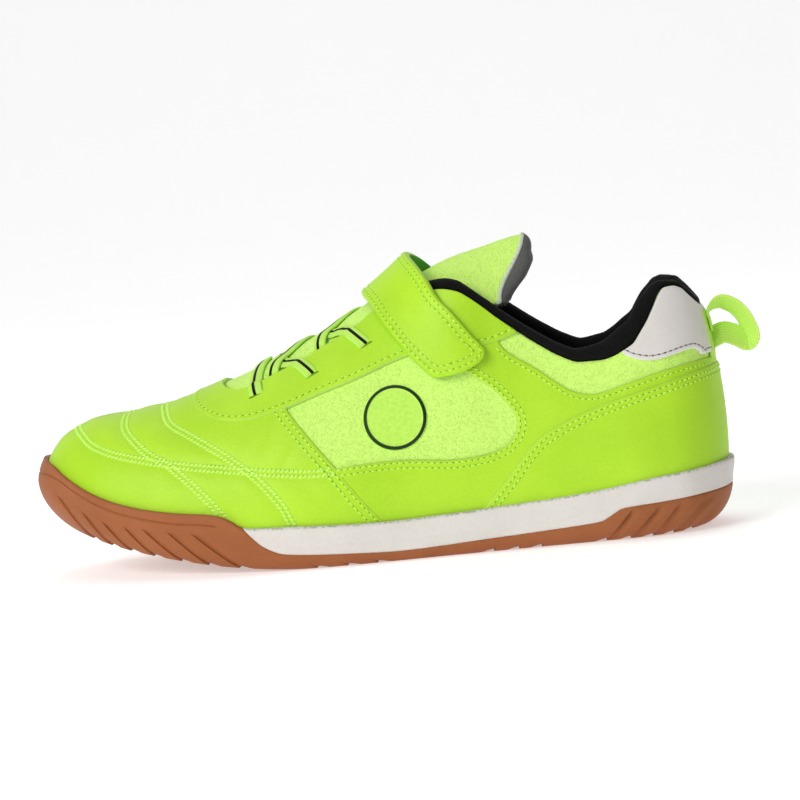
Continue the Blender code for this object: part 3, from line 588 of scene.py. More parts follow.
def piece(name, points, tris, material, replaces=(), marks=None, cloth=None, sharp=None):
    """Blender object from points in millimetres, with values and a cloth map for its material."""
    mesh = bpy.data.meshes.new(name)
    mesh.from_pydata(place(points).tolist(), [], tris.tolist())
    for label, numbers in (marks or {}).items():
        layer = mesh.attributes.new(label, "FLOAT", "POINT")
        layer.data.foreach_set("value", np.ascontiguousarray(numbers, dtype=np.float32))
    if cloth is not None:
        layer = mesh.uv_layers.new(name="cloth")
        corner = np.empty(len(mesh.loops), dtype=np.int32)
        mesh.loops.foreach_get("vertex_index", corner)
        layer.data.foreach_set("uv", np.ascontiguousarray(cloth[corner], dtype=np.float32).reshape(-1))
    mesh.polygons.foreach_set("use_smooth", np.ones(len(mesh.polygons), dtype=bool))
    if sharp is not None:
        mesh.set_sharp_from_angle(angle=math.radians(sharp))
    mesh.materials.append(material)
    return settle_piece(put(name, mesh), replaces)


def settle_piece(thing, replaces=()):
    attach(thing, BODY)
    if replaces:
        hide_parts(*replaces)
    return thing


# Materials


def add_node(tree, kind, settings=None, sockets=None):
    """New node with its settings; each socket is linked or given its value."""
    node = tree.nodes.new(kind)
    for label, value in (settings or {}).items():
        setattr(node, label, value)
    for label, value in (sockets or {}).items():
        if isinstance(value, bpy.types.NodeSocket):
            tree.links.new(value, node.inputs[label])
        else:
            node.inputs[label].default_value = value
    return node


class Term:
    """A shader value: arithmetic on terms adds Math nodes to the finish they belong to."""

    def __init__(self, finish, socket):
        self.finish = finish
        self.socket = socket

    def math(self, operation, *others):
        values = {i + 1: other for i, other in enumerate(others)}
        return self.finish.add("ShaderNodeMath", {"operation": operation}, {0: self, **values})

    def __add__(self, other):
        return self.math("ADD", other)

    __radd__ = __add__

    def __mul__(self, other):
        return self.math("MULTIPLY", other)

    __rmul__ = __mul__

    def __sub__(self, other):
        return self.math("SUBTRACT", other)

    def __rsub__(self, other):
        return self.finish.add("ShaderNodeMath", {"operation": "SUBTRACT"}, {0: other, 1: self})

    def __truediv__(self, other):
        return self.math("DIVIDE", other)

    def __abs__(self):
        return self.math("ABSOLUTE")

    def sine(self):
        return self.math("SINE")

    def between(self, low, high):
        """0 below low, 1 above high, smooth between."""
        sockets = {"Value": self, "From Min": low, "From Max": high}
        return self.finish.add("ShaderNodeMapRange", {"interpolation_type": "SMOOTHSTEP"}, sockets)


class Finish:
    """One material and its node tree."""

    def __init__(self, name, **surface):
        self.material = bpy.data.materials.new(name)
        self.material.use_nodes = True
        self.tree = self.material.node_tree
        self.surface = self.tree.nodes["Principled BSDF"]
        self.object_place = self.add("ShaderNodeTexCoord", output="Object")
        for label, value in surface.items():
            self.surface.inputs[label.replace("_", " ").title().replace("Ior", "IOR")].default_value = value

    def add(self, kind, settings=None, sockets=None, output=0):
        given = {label: getattr(value, "socket", value) for label, value in (sockets or {}).items()}
        return Term(self, add_node(self.tree, kind, settings, given).outputs[output])

    def noise(self, scale, detail=2.0, where=None):
        sockets = {"Vector": where or self.object_place, "Scale": scale, "Detail": detail}
        return self.add("ShaderNodeTexNoise", None, sockets)

    def cells(self, scale, feature="F1"):
        sockets = {"Vector": self.object_place, "Scale": scale}
        return self.add("ShaderNodeTexVoronoi", {"feature": feature}, sockets)

    def mark(self, label):
        return self.add("ShaderNodeAttribute", {"attribute_name": label}, output="Fac")

    def cloth(self):
        """The cloth map's two directions, in millimetres."""
        spot = self.add("ShaderNodeUVMap", {"uv_map": "cloth"})
        return tuple(
            self.add("ShaderNodeSeparateXYZ", None, {0: spot}, output=axis) for axis in ("X", "Y")
        )

    def mix(self, share, first, second):
        sockets = {0: share, 6: first, 7: second}
        return self.add("ShaderNodeMix", {"data_type": "RGBA"}, sockets, output=2)

    def bump(self, height, distance, under=None):
        sockets = {"Height": height, "Distance": distance * MM, "Strength": 1.0}
        if under:
            sockets["Normal"] = under
        return self.add("ShaderNodeBump", None, sockets)

    def wear(self, colour=None, roughness=None, normal=None):
        for label, term in (("Base Color", colour), ("Roughness", roughness), ("Normal", normal)):
            if term:
                self.tree.links.new(term.socket, self.surface.inputs[label])
        return self.material


def rgb(red, green, blue):
    """Colour as seen on a screen, 0 to 255, in the linear values of a shader."""
    linear = []
    for part in (red, green, blue):
        part = part / 255
        linear.append(part / 12.92 if part <= 0.04045 else ((part + 0.055) / 1.055) ** 2.4)
    return (*linear, 1.0)


def synthetic_leather(name, colour, deep, cut, under):
    """Soft coated leather: fine grain, faint clouding, a pale cut edge, another cloth underneath."""
    finish = Finish(name, coat_weight=0.04, coat_roughness=0.4, specular_ior_level=0.35)
    cloud = finish.noise(38, 3)
    grain = finish.cells(1250)
    pores = finish.noise(3400, 2)
    edge = finish.mark("edge")
    rim = 1 - edge.between(0.16, 0.42)
    dip = edge.between(0.4, 1.0)
    shade = cloud.between(0.36, 0.66) * 0.55 + grain.between(0.1, 0.75) * 0.3
    face = finish.mix(shade, deep, colour)
    face = finish.mix(rim, face, cut)
    face = finish.mix(finish.mark("behind"), face, under)
    rough = 0.5 + 0.1 * pores - 0.05 * cloud
    low = finish.bump(cloud, 0.22)
    normal = finish.bump(grain * 0.7 + pores * 0.5 + dip * 0.2, 0.045, low)
    return finish.wear(face, rough, normal)


def knit(name, colour, dash, inside):
    """Fine mesh cloth: small broken darker loops slanting both ways, and a plain brushed lining behind."""
    finish = Finish(name, roughness=0.8, sheen_weight=0.08, sheen_roughness=0.5)
    s, t = finish.cloth()
    drift = finish.noise(260, 2)
    right = ((s + t) * (2 * math.pi / 1.05) + drift * 7.0).sine()
    left = ((s - t) * (2 * math.pi / 1.05) + drift * 7.0).sine()
    side = finish.noise(620, 1)
    broken = finish.noise(1150, 2).between(0.4, 0.66)
    slant = right * side.between(0.44, 0.54) + left * side.between(0.56, 0.46)
    strength = slant.between(-0.2, 0.9) * broken
    outside = finish.mix(strength * 0.45, colour, dash)
    face = finish.mix(finish.mark("behind"), outside, inside)
    normal = finish.bump(strength * -1.0, 0.12)
    return finish.wear(face, None, normal)


def rubber(name, colour, deep, rough, speck, grime=None):
    """Moulded rubber or foam: even colour, faint cloud, very fine skin, grime under the top edge if asked."""
    finish = Finish(name, specular_ior_level=0.3)
    cloud = finish.noise(55, 4)
    fine = finish.noise(speck, 3)
    shade = cloud.between(0.35, 0.65) * 0.6 + fine.between(0.3, 0.7) * 0.4
    face = finish.mix(shade, deep, colour)
    if grime:
        below = finish.mark("below")
        spots = finish.noise(900, 3).between(0.47, 0.6)
        near = below.between(0.12, 0.3) - below.between(0.45, 1.1)
        face = finish.mix(spots * near * 0.75, face, grime)
    normal = finish.bump(fine, 0.035)
    return finish.wear(face, rough + 0.12 * fine, normal)


def cloth(name, colour, deep, pitch):
    """Plain close cloth: crossing threads by object place, brushed surface."""
    finish = Finish(name, roughness=0.92, specular_ior_level=0.2, sheen_weight=0.02, sheen_roughness=0.4)
    fibres = finish.noise(1500 / pitch, 3)
    cells = finish.cells(1000 / pitch)
    face = finish.mix(cells.between(0.15, 0.8) * 0.6 + fibres * 0.4, colour, deep)
    normal = finish.bump(cells * -0.8 + fibres * 0.6, 0.12)
    return finish.wear(face, None, normal)


def tape(name, colour, deep, stripe=None):
    """Woven tape: ribs across its length, and a dark line along its middle if asked."""
    finish = Finish(name, roughness=0.8, specular_ior_level=0.2, sheen_weight=0.04, sheen_roughness=0.5)
    run = finish.mark("run")
    across = finish.mark("across")
    rib = (run * (2 * math.pi / 0.62)).sine()
    thread = (across * 26.0).sine()
    fibres = finish.noise(2600, 2)
    weave = rib * 0.5 + thread * 0.5
    face = finish.mix(weave.between(-0.9, 0.7) * 0.6 + fibres * 0.4, deep, colour)
    if stripe:
        line = 1 - abs(across + 0.2).between(0.2, 0.26)
        face = finish.mix(line, face, stripe)
    normal = finish.bump(weave * 0.4 + fibres * 0.4, 0.09)
    return finish.wear(face, None, normal)


def patch_rubber(name, colour, deep, border):
    """Soft rubber patch with a dark border."""
    finish = Finish(name, specular_ior_level=0.3)
    fine = finish.noise(900, 3)
    ring = finish.mark("ring")
    line = ring.between(0.875, 0.89) - ring.between(0.982, 0.994)
    face = finish.mix(fine.between(0.3, 0.7), deep, colour)
    face = finish.mix(line, face, border)
    return finish.wear(face, 0.45 + 0.1 * fine, finish.bump(fine, 0.03))


def thread_finish(name, colour, deep):
    finish = Finish(name, roughness=0.55)
    twist = finish.noise(2400, 1)
    face = finish.mix(twist.between(0.35, 0.65), deep, colour)
    return finish.wear(face, None, finish.bump(twist, 0.05))


LIME = rgb(186, 234, 44)
LIME_DEEP = rgb(172, 222, 32)
LIME_EDGE = rgb(186, 218, 108)
LIME_UNDER = rgb(98, 190, 70)
PALE_LIME = rgb(210, 253, 116)

lime_leather = synthetic_leather("lime_leather", LIME, LIME_DEEP, LIME_EDGE, LIME_UNDER)
white_leather = synthetic_leather(
    "white_leather", rgb(232, 227, 222), rgb(224, 218, 213), rgb(232, 229, 226), rgb(60, 60, 60)
)
mesh_knit = knit("mesh_knit", PALE_LIME, rgb(164, 214, 66), rgb(20, 20, 20))
tongue_knit = knit("tongue_knit", PALE_LIME, rgb(170, 220, 76), rgb(92, 92, 90))
gum = rubber("gum_rubber", rgb(164, 98, 56), rgb(154, 88, 47), 0.55, 1500)
foam = rubber("white_foam", rgb(226, 221, 217), rgb(217, 211, 206), 0.6, 900, rgb(150, 158, 120))
collar_cloth = cloth("collar_cloth", rgb(14, 14, 13), rgb(5, 5, 5), 0.9)
binding_cloth = cloth("binding_cloth", rgb(222, 230, 212), rgb(186, 200, 170), 0.8)
insole_cloth = cloth("insole_cloth", rgb(46, 46, 46), rgb(28, 28, 28), 1.0)
lace_tape = tape("lace_tape", rgb(206, 252, 118), rgb(172, 222, 78), rgb(6, 14, 4))
loop_tape = tape("loop_tape", rgb(212, 250, 122), rgb(182, 226, 84))
thread_lime = thread_finish("thread_lime", rgb(212, 254, 110), rgb(190, 240, 72))
thread_pale = thread_finish("thread_pale", rgb(212, 254, 112), rgb(192, 242, 84))
thread_grey = thread_finish("thread_grey", rgb(112, 104, 106), rgb(84, 78, 80))
# Dark finishes for the grains in needle holes and lace slots: painted shade where these openings fall into
# shadow.
hole_shade_paint = rubber("hole_shade_paint", rgb(112, 158, 18), rgb(98, 142, 12), 0.8, 1500)
faint_hole_shade_paint = rubber("faint_hole_shade_paint", rgb(142, 190, 28), rgb(128, 176, 20), 0.8, 1500)
badge_rubber = patch_rubber("badge_rubber", rgb(198, 246, 100), rgb(188, 238, 86), rgb(18, 48, 16))


# Mesh upper and its overlays


def wall_patch(first, last, stations, rows):
    """Outside of the upper as triangles: u, v, distance to the top edge, cloth s and t."""
    u = np.linspace(float(u_of(first)), float(u_of(last)), stations)
    if first < THROAT_FRONT < last:
        u = np.union1d(u, u_of(THROAT_FRONT + np.linspace(-0.6, 2.6, 33)))
        stations = len(u)
    along = along_of(u)
    top = v_at_height(u, np.minimum(topline_at(along), crest_at(axis_of(along))))
    sides = []
    for side in (-1, 1):
        size = 1 + (top[:, None] - 1) * np.linspace(0, 1, 160)
        girth = lengths(np.swapaxes(last_point(u[:, None], side * size), 0, 1)).T
        even = np.linspace(0, 1, rows)
        size = np.stack([np.interp(even * run[-1], run, sizes) for run, sizes in zip(girth, size)])
        t = even * girth[:, -1:]
        s = lengths(last_point(u, side * size[:, rows // 2]))[:, None] + 0 * t
        closed = np.where(top[:, None] < 1e-6, 1e3, 0)
        edge = girth[:, -1:] - t + closed
        values = np.stack([u[:, None] + 0 * t, side * size, edge, s, t], -1).reshape(-1, 5)
        tris = grid_tris(stations, rows)
        tris = face_out(last_point(values[:, 0], values[:, 1]), tris, skin_normal(values[:, 0], values[:, 1]))
        sides.append((values, tris))
    return join(sides)


def line_distance(xz, path, closed):
    """Distance in side view to a path, the way from it, and whether a closed one holds the point."""
    ends = np.roll(path, -1, axis=0) if closed else path[1:]
    best = np.full(len(xz), 1e9)
    way = np.zeros_like(xz)
    inside = np.zeros(len(xz), bool)
    for p, q in zip(path, ends):
        run = q - p
        share = np.clip(((xz - p) @ run) / max(run @ run, 1e-12), 0, 1)
        off = xz - p - share[:, None] * run
        far = np.sqrt((off * off).sum(1))
        nearer = far < best
        best[nearer] = far[nearer]
        way[nearer] = off[nearer] / np.maximum(far[nearer], 1e-9)[:, None]
        if closed and p[1] != q[1]:
            crosses = (p[1] > xz[:, 1]) != (q[1] > xz[:, 1])
            inside ^= crosses & (xz[:, 0] < p[0] + (xz[:, 1] - p[1]) * run[0] / run[1])
    return best, way, inside


def on_surface(distance, way, normals):
    """Side-view distance measured along the leaning surface."""
    lean = (way[:, 0] * normals[:, 0] + way[:, 1] * normals[:, 2]) ** 2
    return distance / np.sqrt(np.clip(1 - lean, 0.06, 1))


def rim_line(first, last):
    along = np.linspace(first, last, 60)
    return np.stack([along, rim_at(along) - 2.0], axis=1)


EYESTAY_LINE = edge_path(EYESTAY_EDGE)
SEAM_LINE = edge_path(VAMP_EDGE)
WINDOW_LINE = edge_path(WINDOW_EDGE)
COLLAR_LINE = edge_path(COLLAR_MESH_EDGE)
COUNTER_LINE = edge_path(COUNTER_EDGE)
TAB_LINE = edge_path(HEEL_TAB_EDGE)


def part_of(path, first, last):
    return path[(path[:, 0] >= first) & (path[:, 0] <= last)]


def above_rim(path):
    return path[path[:, 1] > rim_at(path[:, 0]) - 2.0]


SEAM_FOOT = above_rim(SEAM_LINE)[-1, 0]
COUNTER_FOOT = above_rim(COUNTER_LINE)[0, 0]

VAMP_OUTLINE = np.vstack([
    [(-20, 39), (-20, 90), (53.2 + TUCK, 90)],
    part_of(EYESTAY_LINE, 0, VAMP_EDGE[0].along) + (TUCK, TUCK),
    above_rim(SEAM_LINE),
    rim_line(UPPER_TOE, SEAM_FOOT)[::-1],
])
EYESTAY_OUTLINE = np.vstack([EYESTAY_LINE, [(168, 130), (53.2, 130)]])
QUARTER_OUTLINE = np.vstack([
    rim_line(SEAM_FOOT - TUCK, COUNTER_FOOT + TUCK)[::-1],
    part_of(above_rim(SEAM_LINE), WINDOW_EDGE[0].along, 200)[::-1] - (TUCK, TUCK / 2),
    WINDOW_LINE[1:-1],
    part_of(EYESTAY_LINE, WINDOW_EDGE[-1].along, COLLAR_MESH_EDGE[0].along) + (0, TUCK),
    COLLAR_LINE[1:],
    above_rim(COUNTER_LINE)[::-1] + (TUCK, -TUCK),
])
COUNTER_OUTLINE = np.vstack([
    above_rim(COUNTER_LINE),
    [(BEHIND_HEEL, 54.6), (BEHIND_HEEL, 20)],
    rim_line(COUNTER_FOOT, UPPER_HEEL)[::-1],
])
TAB_OUTLINE = np.vstack([TAB_LINE, [(BEHIND_HEEL, 56.7), (BEHIND_HEEL, 120), (194.4, 120)]])

# Soft wrinkles where the vamp bends: place, run along and across, slant, depth
Crease = namedtuple("Crease", "along height long wide slant depth")
CREASES = [
    Crease(74, 47.0, 7.0, 1.5, 25, 0.22),
    Crease(82, 43.5, 6.5, 1.4, 58, 0.26),
    Crease(88, 37.0, 7.5, 1.7, 50, 0.24),
    Crease(70, 26.0, 9.0, 2.2, -32, 0.16),
    Crease(96, 22.0, 8.0, 2.0, -50, 0.14),
    Crease(62, 36.5, 7.0, 1.8, -40, 0.16),
]


def crease_depth(points):
    depth = np.zeros(len(points))
    for crease in CREASES:
        turn = math.radians(crease.slant)
        dx = points[:, 0] - crease.along
        dz = points[:, 2] - crease.height
        run = dx * math.cos(turn) + dz * math.sin(turn)
        over = dz * math.cos(turn) - dx * math.sin(turn)
        trough = np.exp(-((over / crease.wide) ** 2))
        swell = 0.5 * np.exp(-(((over - 2 * crease.wide) / crease.wide) ** 2))
        depth += crease.depth * (trough - swell) * np.exp(-((run / crease.long) ** 2))
    return depth


def point_tree(points):
    tree = KDTree(len(points))
    for number, point in enumerate(points.tolist()):
        tree.insert(point, number)
    tree.balance()
    return tree


def crest_point(x):
    """Point of the crest line at x; in front of the sections' fan it runs down the toe."""
    if x < axis_of(UPPER_TOE):
        sizes = np.linspace(0, 1, 400)
        down = last_point(0.0, sizes)[:, 0]
        return last_point(0.0, np.interp(x, down[::-1], sizes[::-1]))
    u = np.linspace(0, 1, 800)
    return last_point(np.interp(x, axis_of(along_of(u)), u), 0.0)


VAMP_GRID = np.meshgrid(np.linspace(0, 0.6, 200), np.linspace(-1, 1, 201), indexing="ij")
VAMP_SPOTS = np.stack(VAMP_GRID, -1).reshape(-1, 2)
VAMP_TREE = point_tree(last_point(VAMP_SPOTS[:, 0], VAMP_SPOTS[:, 1]))


def locate(points):
    """u and v of the vamp's surface points nearest to the given ones."""
    near = [VAMP_TREE.find(point)[1] for point in points.tolist()]
    return settle(points, VAMP_SPOTS[near, 0], VAMP_SPOTS[near, 1])


def vamp_seam(seam):
    """Points of a sewn line from the lateral sole over the crest to the medial one."""
    u, v = uv_at([e.along for e in seam.edges], np.array([e.height for e in seam.edges]))
    ways = [last_point(u, -v)[::-1], [crest_point(seam.crest_along)], last_point(u, v)]
    return last_point(*locate(smooth_path(np.vstack(ways), 40)))


VAMP_LINES = [vamp_seam(seam) for seam in VAMP_SEAMS]
QUILT_TREE = point_tree(np.vstack(VAMP_LINES))


def quilting(points):
    """How deep the sewn lines pull the vamp down."""
    far = np.array([QUILT_TREE.find(point)[2] for point in points.tolist()])
    pull = 0.5 * np.exp(-((far / 3.4) ** 2))
    needle = 0.14 * np.exp(-(((far - 1.1) / 0.6) ** 2))
    return pull + needle


sewn_rows = {"edge": [], "rope": [], "stay": [], "strap": [], "tab": []}


def sew(kind, u, v, lift):
    """Note a row of stitches: its points and the way out of the surface."""
    points = skin(u, v, lift)
    sewn_rows[kind].append((points, skin_normal(u, v)))


def make_panel(
    name, node, outline, own, first, last, top, material, rows=(), thread="edge", relief=None
):
    """Overlay cut from the upper's surface, with rounded edges and rows of stitches beside its own edge."""
    span = float(u_of(last) - u_of(first))
    values, tris = wall_patch(first, last, int(310 * span) + 2, 72)
    points = last_point(values[:, 0], values[:, 1])
    normals = skin_normal(values[:, 0], values[:, 1])
    far, way, inside = line_distance(points[:, [0, 2]], outline, True)
    edge = np.minimum(np.where(inside, 1, -1) * on_surface(far, way, normals), values[:, WALL_TOP])
    far, way, _ = line_distance(points[:, [0, 2]], own, False)
    beside = np.where(edge > 0, on_surface(far, way, normals), -1)
    values = np.hstack([values, edge[:, None], beside[:, None]])
    for distance in rows:
        for line in contour(values, tris, BESIDE_EDGE, distance):
            u, v = line[:, 0], line[:, 1]
            far, way, _ = line_distance(last_point(u, v)[:, [0, 2]], own, False)
            off_line = np.abs(on_surface(far, way, skin_normal(u, v)) - distance)
            true = (line[:, PANEL_EDGE] > distance * 0.6) & (off_line < 0.5)
            if true.sum() > 8 and lengths(last_point(u[true], v[true]))[-1] > 12:
                sew(thread, u[true], v[true], top + THREAD_LIFT)
    values, tris = keep_above(values, tris, PANEL_EDGE, 0.0)
    for distance in (0.03, 0.1, 0.24, EDGE_ROUND):
        values, tris = split(values, tris, PANEL_EDGE, distance)
    edge = values[:, PANEL_EDGE]
    round_off = np.sqrt(1 - (1 - np.clip(edge / EDGE_ROUND, 0, 1)) ** 2)
    lift = SIT + (top - SIT) * round_off
    if relief:
        lift = lift - relief(last_point(values[:, 0], values[:, 1])) * np.clip(edge / 2, 0, 1)
    front = skin(values[:, 0], values[:, 1], lift)
    back = skin(values[:, 0], values[:, 1], SIT)
    points, tris, values = shell(front, back, tris, values)
    marks = {"edge": np.clip(values[:, PANEL_EDGE], 0, 9)}
    return piece(name, points, tris, material, [node], marks)


def make_upper():
    values, tris = wall_patch(UPPER_TOE, UPPER_HEEL, 205, 50)
    front = skin(values[:, 0], values[:, 1])
    back = skin(values[:, 0], values[:, 1], -UPPER_WALL)
    points, tris, values = shell(front, back, tris, values)
    marks = {"behind": values[:, -1]}
    piece("upper_mesh", points, tris, mesh_knit, ["upper"], marks, values[:, 3:5])


def vamp_relief(points):
    return quilting(points) + crease_depth(points)


def make_panels():
    make_panel("vamp_leather", "vamp_panel", VAMP_OUTLINE, SEAM_LINE, UPPER_TOE, 118, TOP_OF["vamp"],
               lime_leather, (1.5, 3.6), "edge", vamp_relief)
    make_panel("quarter_leather", "quarter_panel", QUARTER_OUTLINE, WINDOW_LINE, 92, UPPER_HEEL,
               TOP_OF["quarter"], lime_leather, (0.95, 2.6), "edge", crease_depth)
    make_panel("counter_leather", "heel_counter", COUNTER_OUTLINE, COUNTER_LINE, 138, UPPER_HEEL,
               TOP_OF["counter"], lime_leather, (1.5, 3.2))
    make_panel("eyestay_leather", "eyestay", EYESTAY_OUTLINE, EYESTAY_LINE, 46, 170, TOP_OF["eyestay"],
               lime_leather, (1.8,), "stay")
    make_panel("heel_tab_leather", "heel_tab", TAB_OUTLINE, TAB_LINE, 190, UPPER_HEEL, TOP_OF["tab"],
               white_leather, (1.5,), "tab")


def sew_collar_edge():
    """Row on the quarter below the collar mesh."""
    line = part_of(COLLAR_LINE, 158, 225)
    ahead = unit(np.gradient(line, axis=0))
    line = line + COLLAR_ROW * np.stack([ahead[:, 1], -ahead[:, 0]], 1)
    u, v = uv_at(line[:, 0], line[:, 1])
    for side in (-1, 1):
        sew("edge", u, side * v, TOP_OF["quarter"] + THREAD_LIFT)


def sew_vamp():
    """Double rows along the sewn lines of the vamp."""
    for points in VAMP_LINES:
        u, v = locate(points)
        beside = np.cross(unit(np.gradient(points, axis=0)), skin_normal(u, v))
        for shift in (-ROPE_SHIFT, ROPE_SHIFT):
            u, v = locate(points + beside * shift)
            row = last_point(u, v)
            visible = row[:, 2] > rim_at(row[:, 0]) + 0.5
            sew("rope", u[visible], v[visible], TOP_OF["vamp"] + 0.05 - quilting(row[visible]))


# Sole: ribs by their place at the floor and lean, grooves of the tread, the line below the rim


Rib = namedtuple("Rib", "along lean")
TOE_RIBS = [
    Rib(17.6, -0.87), Rib(24.5, -0.87), Rib(31.4, -0.95), Rib(39.4, -1.01), Rib(48.6, -1.25),
    Rib(57.6, -1.25), Rib(68.0, -1.4), Rib(93.3, -1.4), Rib(103.2, -1.4), Rib(112.8, -1.4),
]
HEEL_RIBS = [
    Rib(150.0, 1.0), Rib(158.1, 1.0), Rib(165.5, 1.0), Rib(186.4, 0.92), Rib(194.2, 0.97),
    Rib(201.4, 0.9), Rib(208.1, 1.05), Rib(214.2, 1.05),
]
TOE_PITCH = 7.8
HEEL_PITCH = 7.0
TOE_RIB_DEPTH = 0.75
HEEL_RIB_DEPTH = 1.5
NOTCH_DEPTH = 0.9
TREAD_PLACES = [18, 25, 32, 39, 46, 53, 60, 94, 101, 108, 115, 146, 154, 162, 189, 197, 205, 213]
TREAD_WIDTH = 2.2
TREAD_DEPTH = 1.3
TREAD_SLOPE = 0.25
LINE_BELOW = 3.4
SOLE_SNAP = 0.055
SOLE_WELD = 0.02


def sidewall(u, side):
    """Plan point, outward direction, tuck under, widest height and rim of the sidewall."""
    along = along_of(u)
    end = np.abs(np.cos(np.pi * u)) ** 3
    near = last_point(u + 1e-3, side) - last_point(u - 1e-3, side)
    out = unit(np.stack([near[:, 1], -near[:, 0]], 1) * -side)
    stand = 2.9 + np.where(u < 0.5, 2.8 * end**3, 0.1 * end)
    base = last_point(u, side)[:, :2] + out * stand[:, None]
    rim = rim_at(along)
    low = floor_at(along)
    widest = low + (0.55 + 0.15 * end) * (rim - low)
    return base, out, 5.0 + 8.0 * end, widest, rim


def sole_rows(u, side):
    """Rows of points from the middle of the tread round the side, over the rim and into the bed."""
    along = along_of(u)
    axis = np.stack([axis_of(along), crest_y_at(along)], 1)
    base, out, tuck, widest, rim = sidewall(u, side)
    v_rim = side * v_at_height(u, rim)
    clear = TOP_OF["vamp"] + 0.3
    rows = []

    def add(xy, z, wall, tread=0.0, notch=0.0):
        levels = np.tile([float(wall), float(tread), float(notch)], (len(u), 1))
        rows.append(np.hstack([xy, z[:, None], out * wall, levels]))

    foot = base - out * tuck[:, None]
    for share in np.linspace(0, 1, 16)[:-1]:
        xy = axis + (foot - axis) * share
        add(xy, floor_at(xy[:, 0]), 0, 1 - smoothstep((share - 0.8) / 0.14), smoothstep((share - 0.72) / 0.2))
    for angle in np.radians(np.linspace(0, 90, 16)):
        xy = base - out * (tuck * (1 - math.sin(angle)))[:, None]
        low = floor_at(xy[:, 0])
        add(xy, low + (widest - low) * (1 - math.cos(angle)), 1, 0, 1 - smoothstep(angle / 0.9))
    side_top = np.hstack([base, widest[:, None]])
    outer = skin(u, v_rim, RIM_THICK + clear)
    inner = skin(u, v_rim, clear)
    shoulder = outer - np.array([0, 0, 0.8])
    lean_in = np.linalg.norm((shoulder - side_top)[:, :2], axis=1, keepdims=True)
    belly = (side_top + shoulder) / 2 + np.hstack([out * lean_in * 0.3, lean_in * 0.22])
    for share in np.linspace(0, 1, 14)[1:]:
        spot = side_top * (1 - share) ** 2 + 2 * belly * share * (1 - share) + shoulder * share**2
        add(spot[:, :2], spot[:, 2], 1)
    top = outer + (inner - outer) * 0.35
    for share in (0.3, 0.6, 0.85):
        spot = shoulder * (1 - share) ** 2 + 2 * outer * share * (1 - share) + top * share**2
        add(spot[:, :2], spot[:, 2], 1)
    for spot in (top, inner):
        add(spot[:, :2], spot[:, 2], 0)
    for share in (0.35, 0.7):
        spot = skin(u, v_rim + (side - v_rim) * share, clear)
        add(spot[:, :2], spot[:, 2], 0)
    wall = skin(u, np.full(len(u), float(side)), clear)[:, :2]
    add(wall, bed_at(along) - SEAM_GAP, 0)
    for share in (0.6, 0.3, 0.0):
        xy = axis + (wall - axis) * share
        add(xy, bed_at(xy[:, 0]) - SEAM_GAP, 0)
    return np.stack(rows, 1)


def rib_places(ribs, points):
    """Signed distance along the sole from the nearest rib line."""
    up = points[:, 2] - floor_at(points[:, 0])
    gaps = np.stack([points[:, 0] - rib.along - rib.lean * up for rib in ribs], 1)
    return gaps[np.arange(len(points)), np.abs(gaps).argmin(1)]


def tread_places(points):
    gap = points[:, :1] - np.array(TREAD_PLACES, float)[None, :] - 0.1 * np.abs(points[:, 1:2] - 2)
    return gap[np.arange(len(points)), np.abs(gap).argmin(1)]


def cap(points, tris):
    """Close the open edges of a cut solid."""
    build = bmesh.new()
    verts = [build.verts.new(p) for p in points.tolist()]
    for corners in tris.tolist():
        build.faces.new([verts[i] for i in corners])
    bmesh.ops.remove_doubles(build, verts=build.verts, dist=SOLE_WELD)
    bmesh.ops.dissolve_degenerate(build, edges=build.edges, dist=SOLE_WELD)
    edges = [e for e in build.edges if e.is_boundary]
    bmesh.ops.holes_fill(build, edges=edges, sides=0)
    bmesh.ops.triangulate(build, faces=build.faces)
    bmesh.ops.recalc_face_normals(build, faces=build.faces)
    build.verts.index_update()
    points = np.array([v.co[:] for v in build.verts])
    tris = np.array([[v.index for v in f.verts] for f in build.faces])
    build.free()
    return points, tris


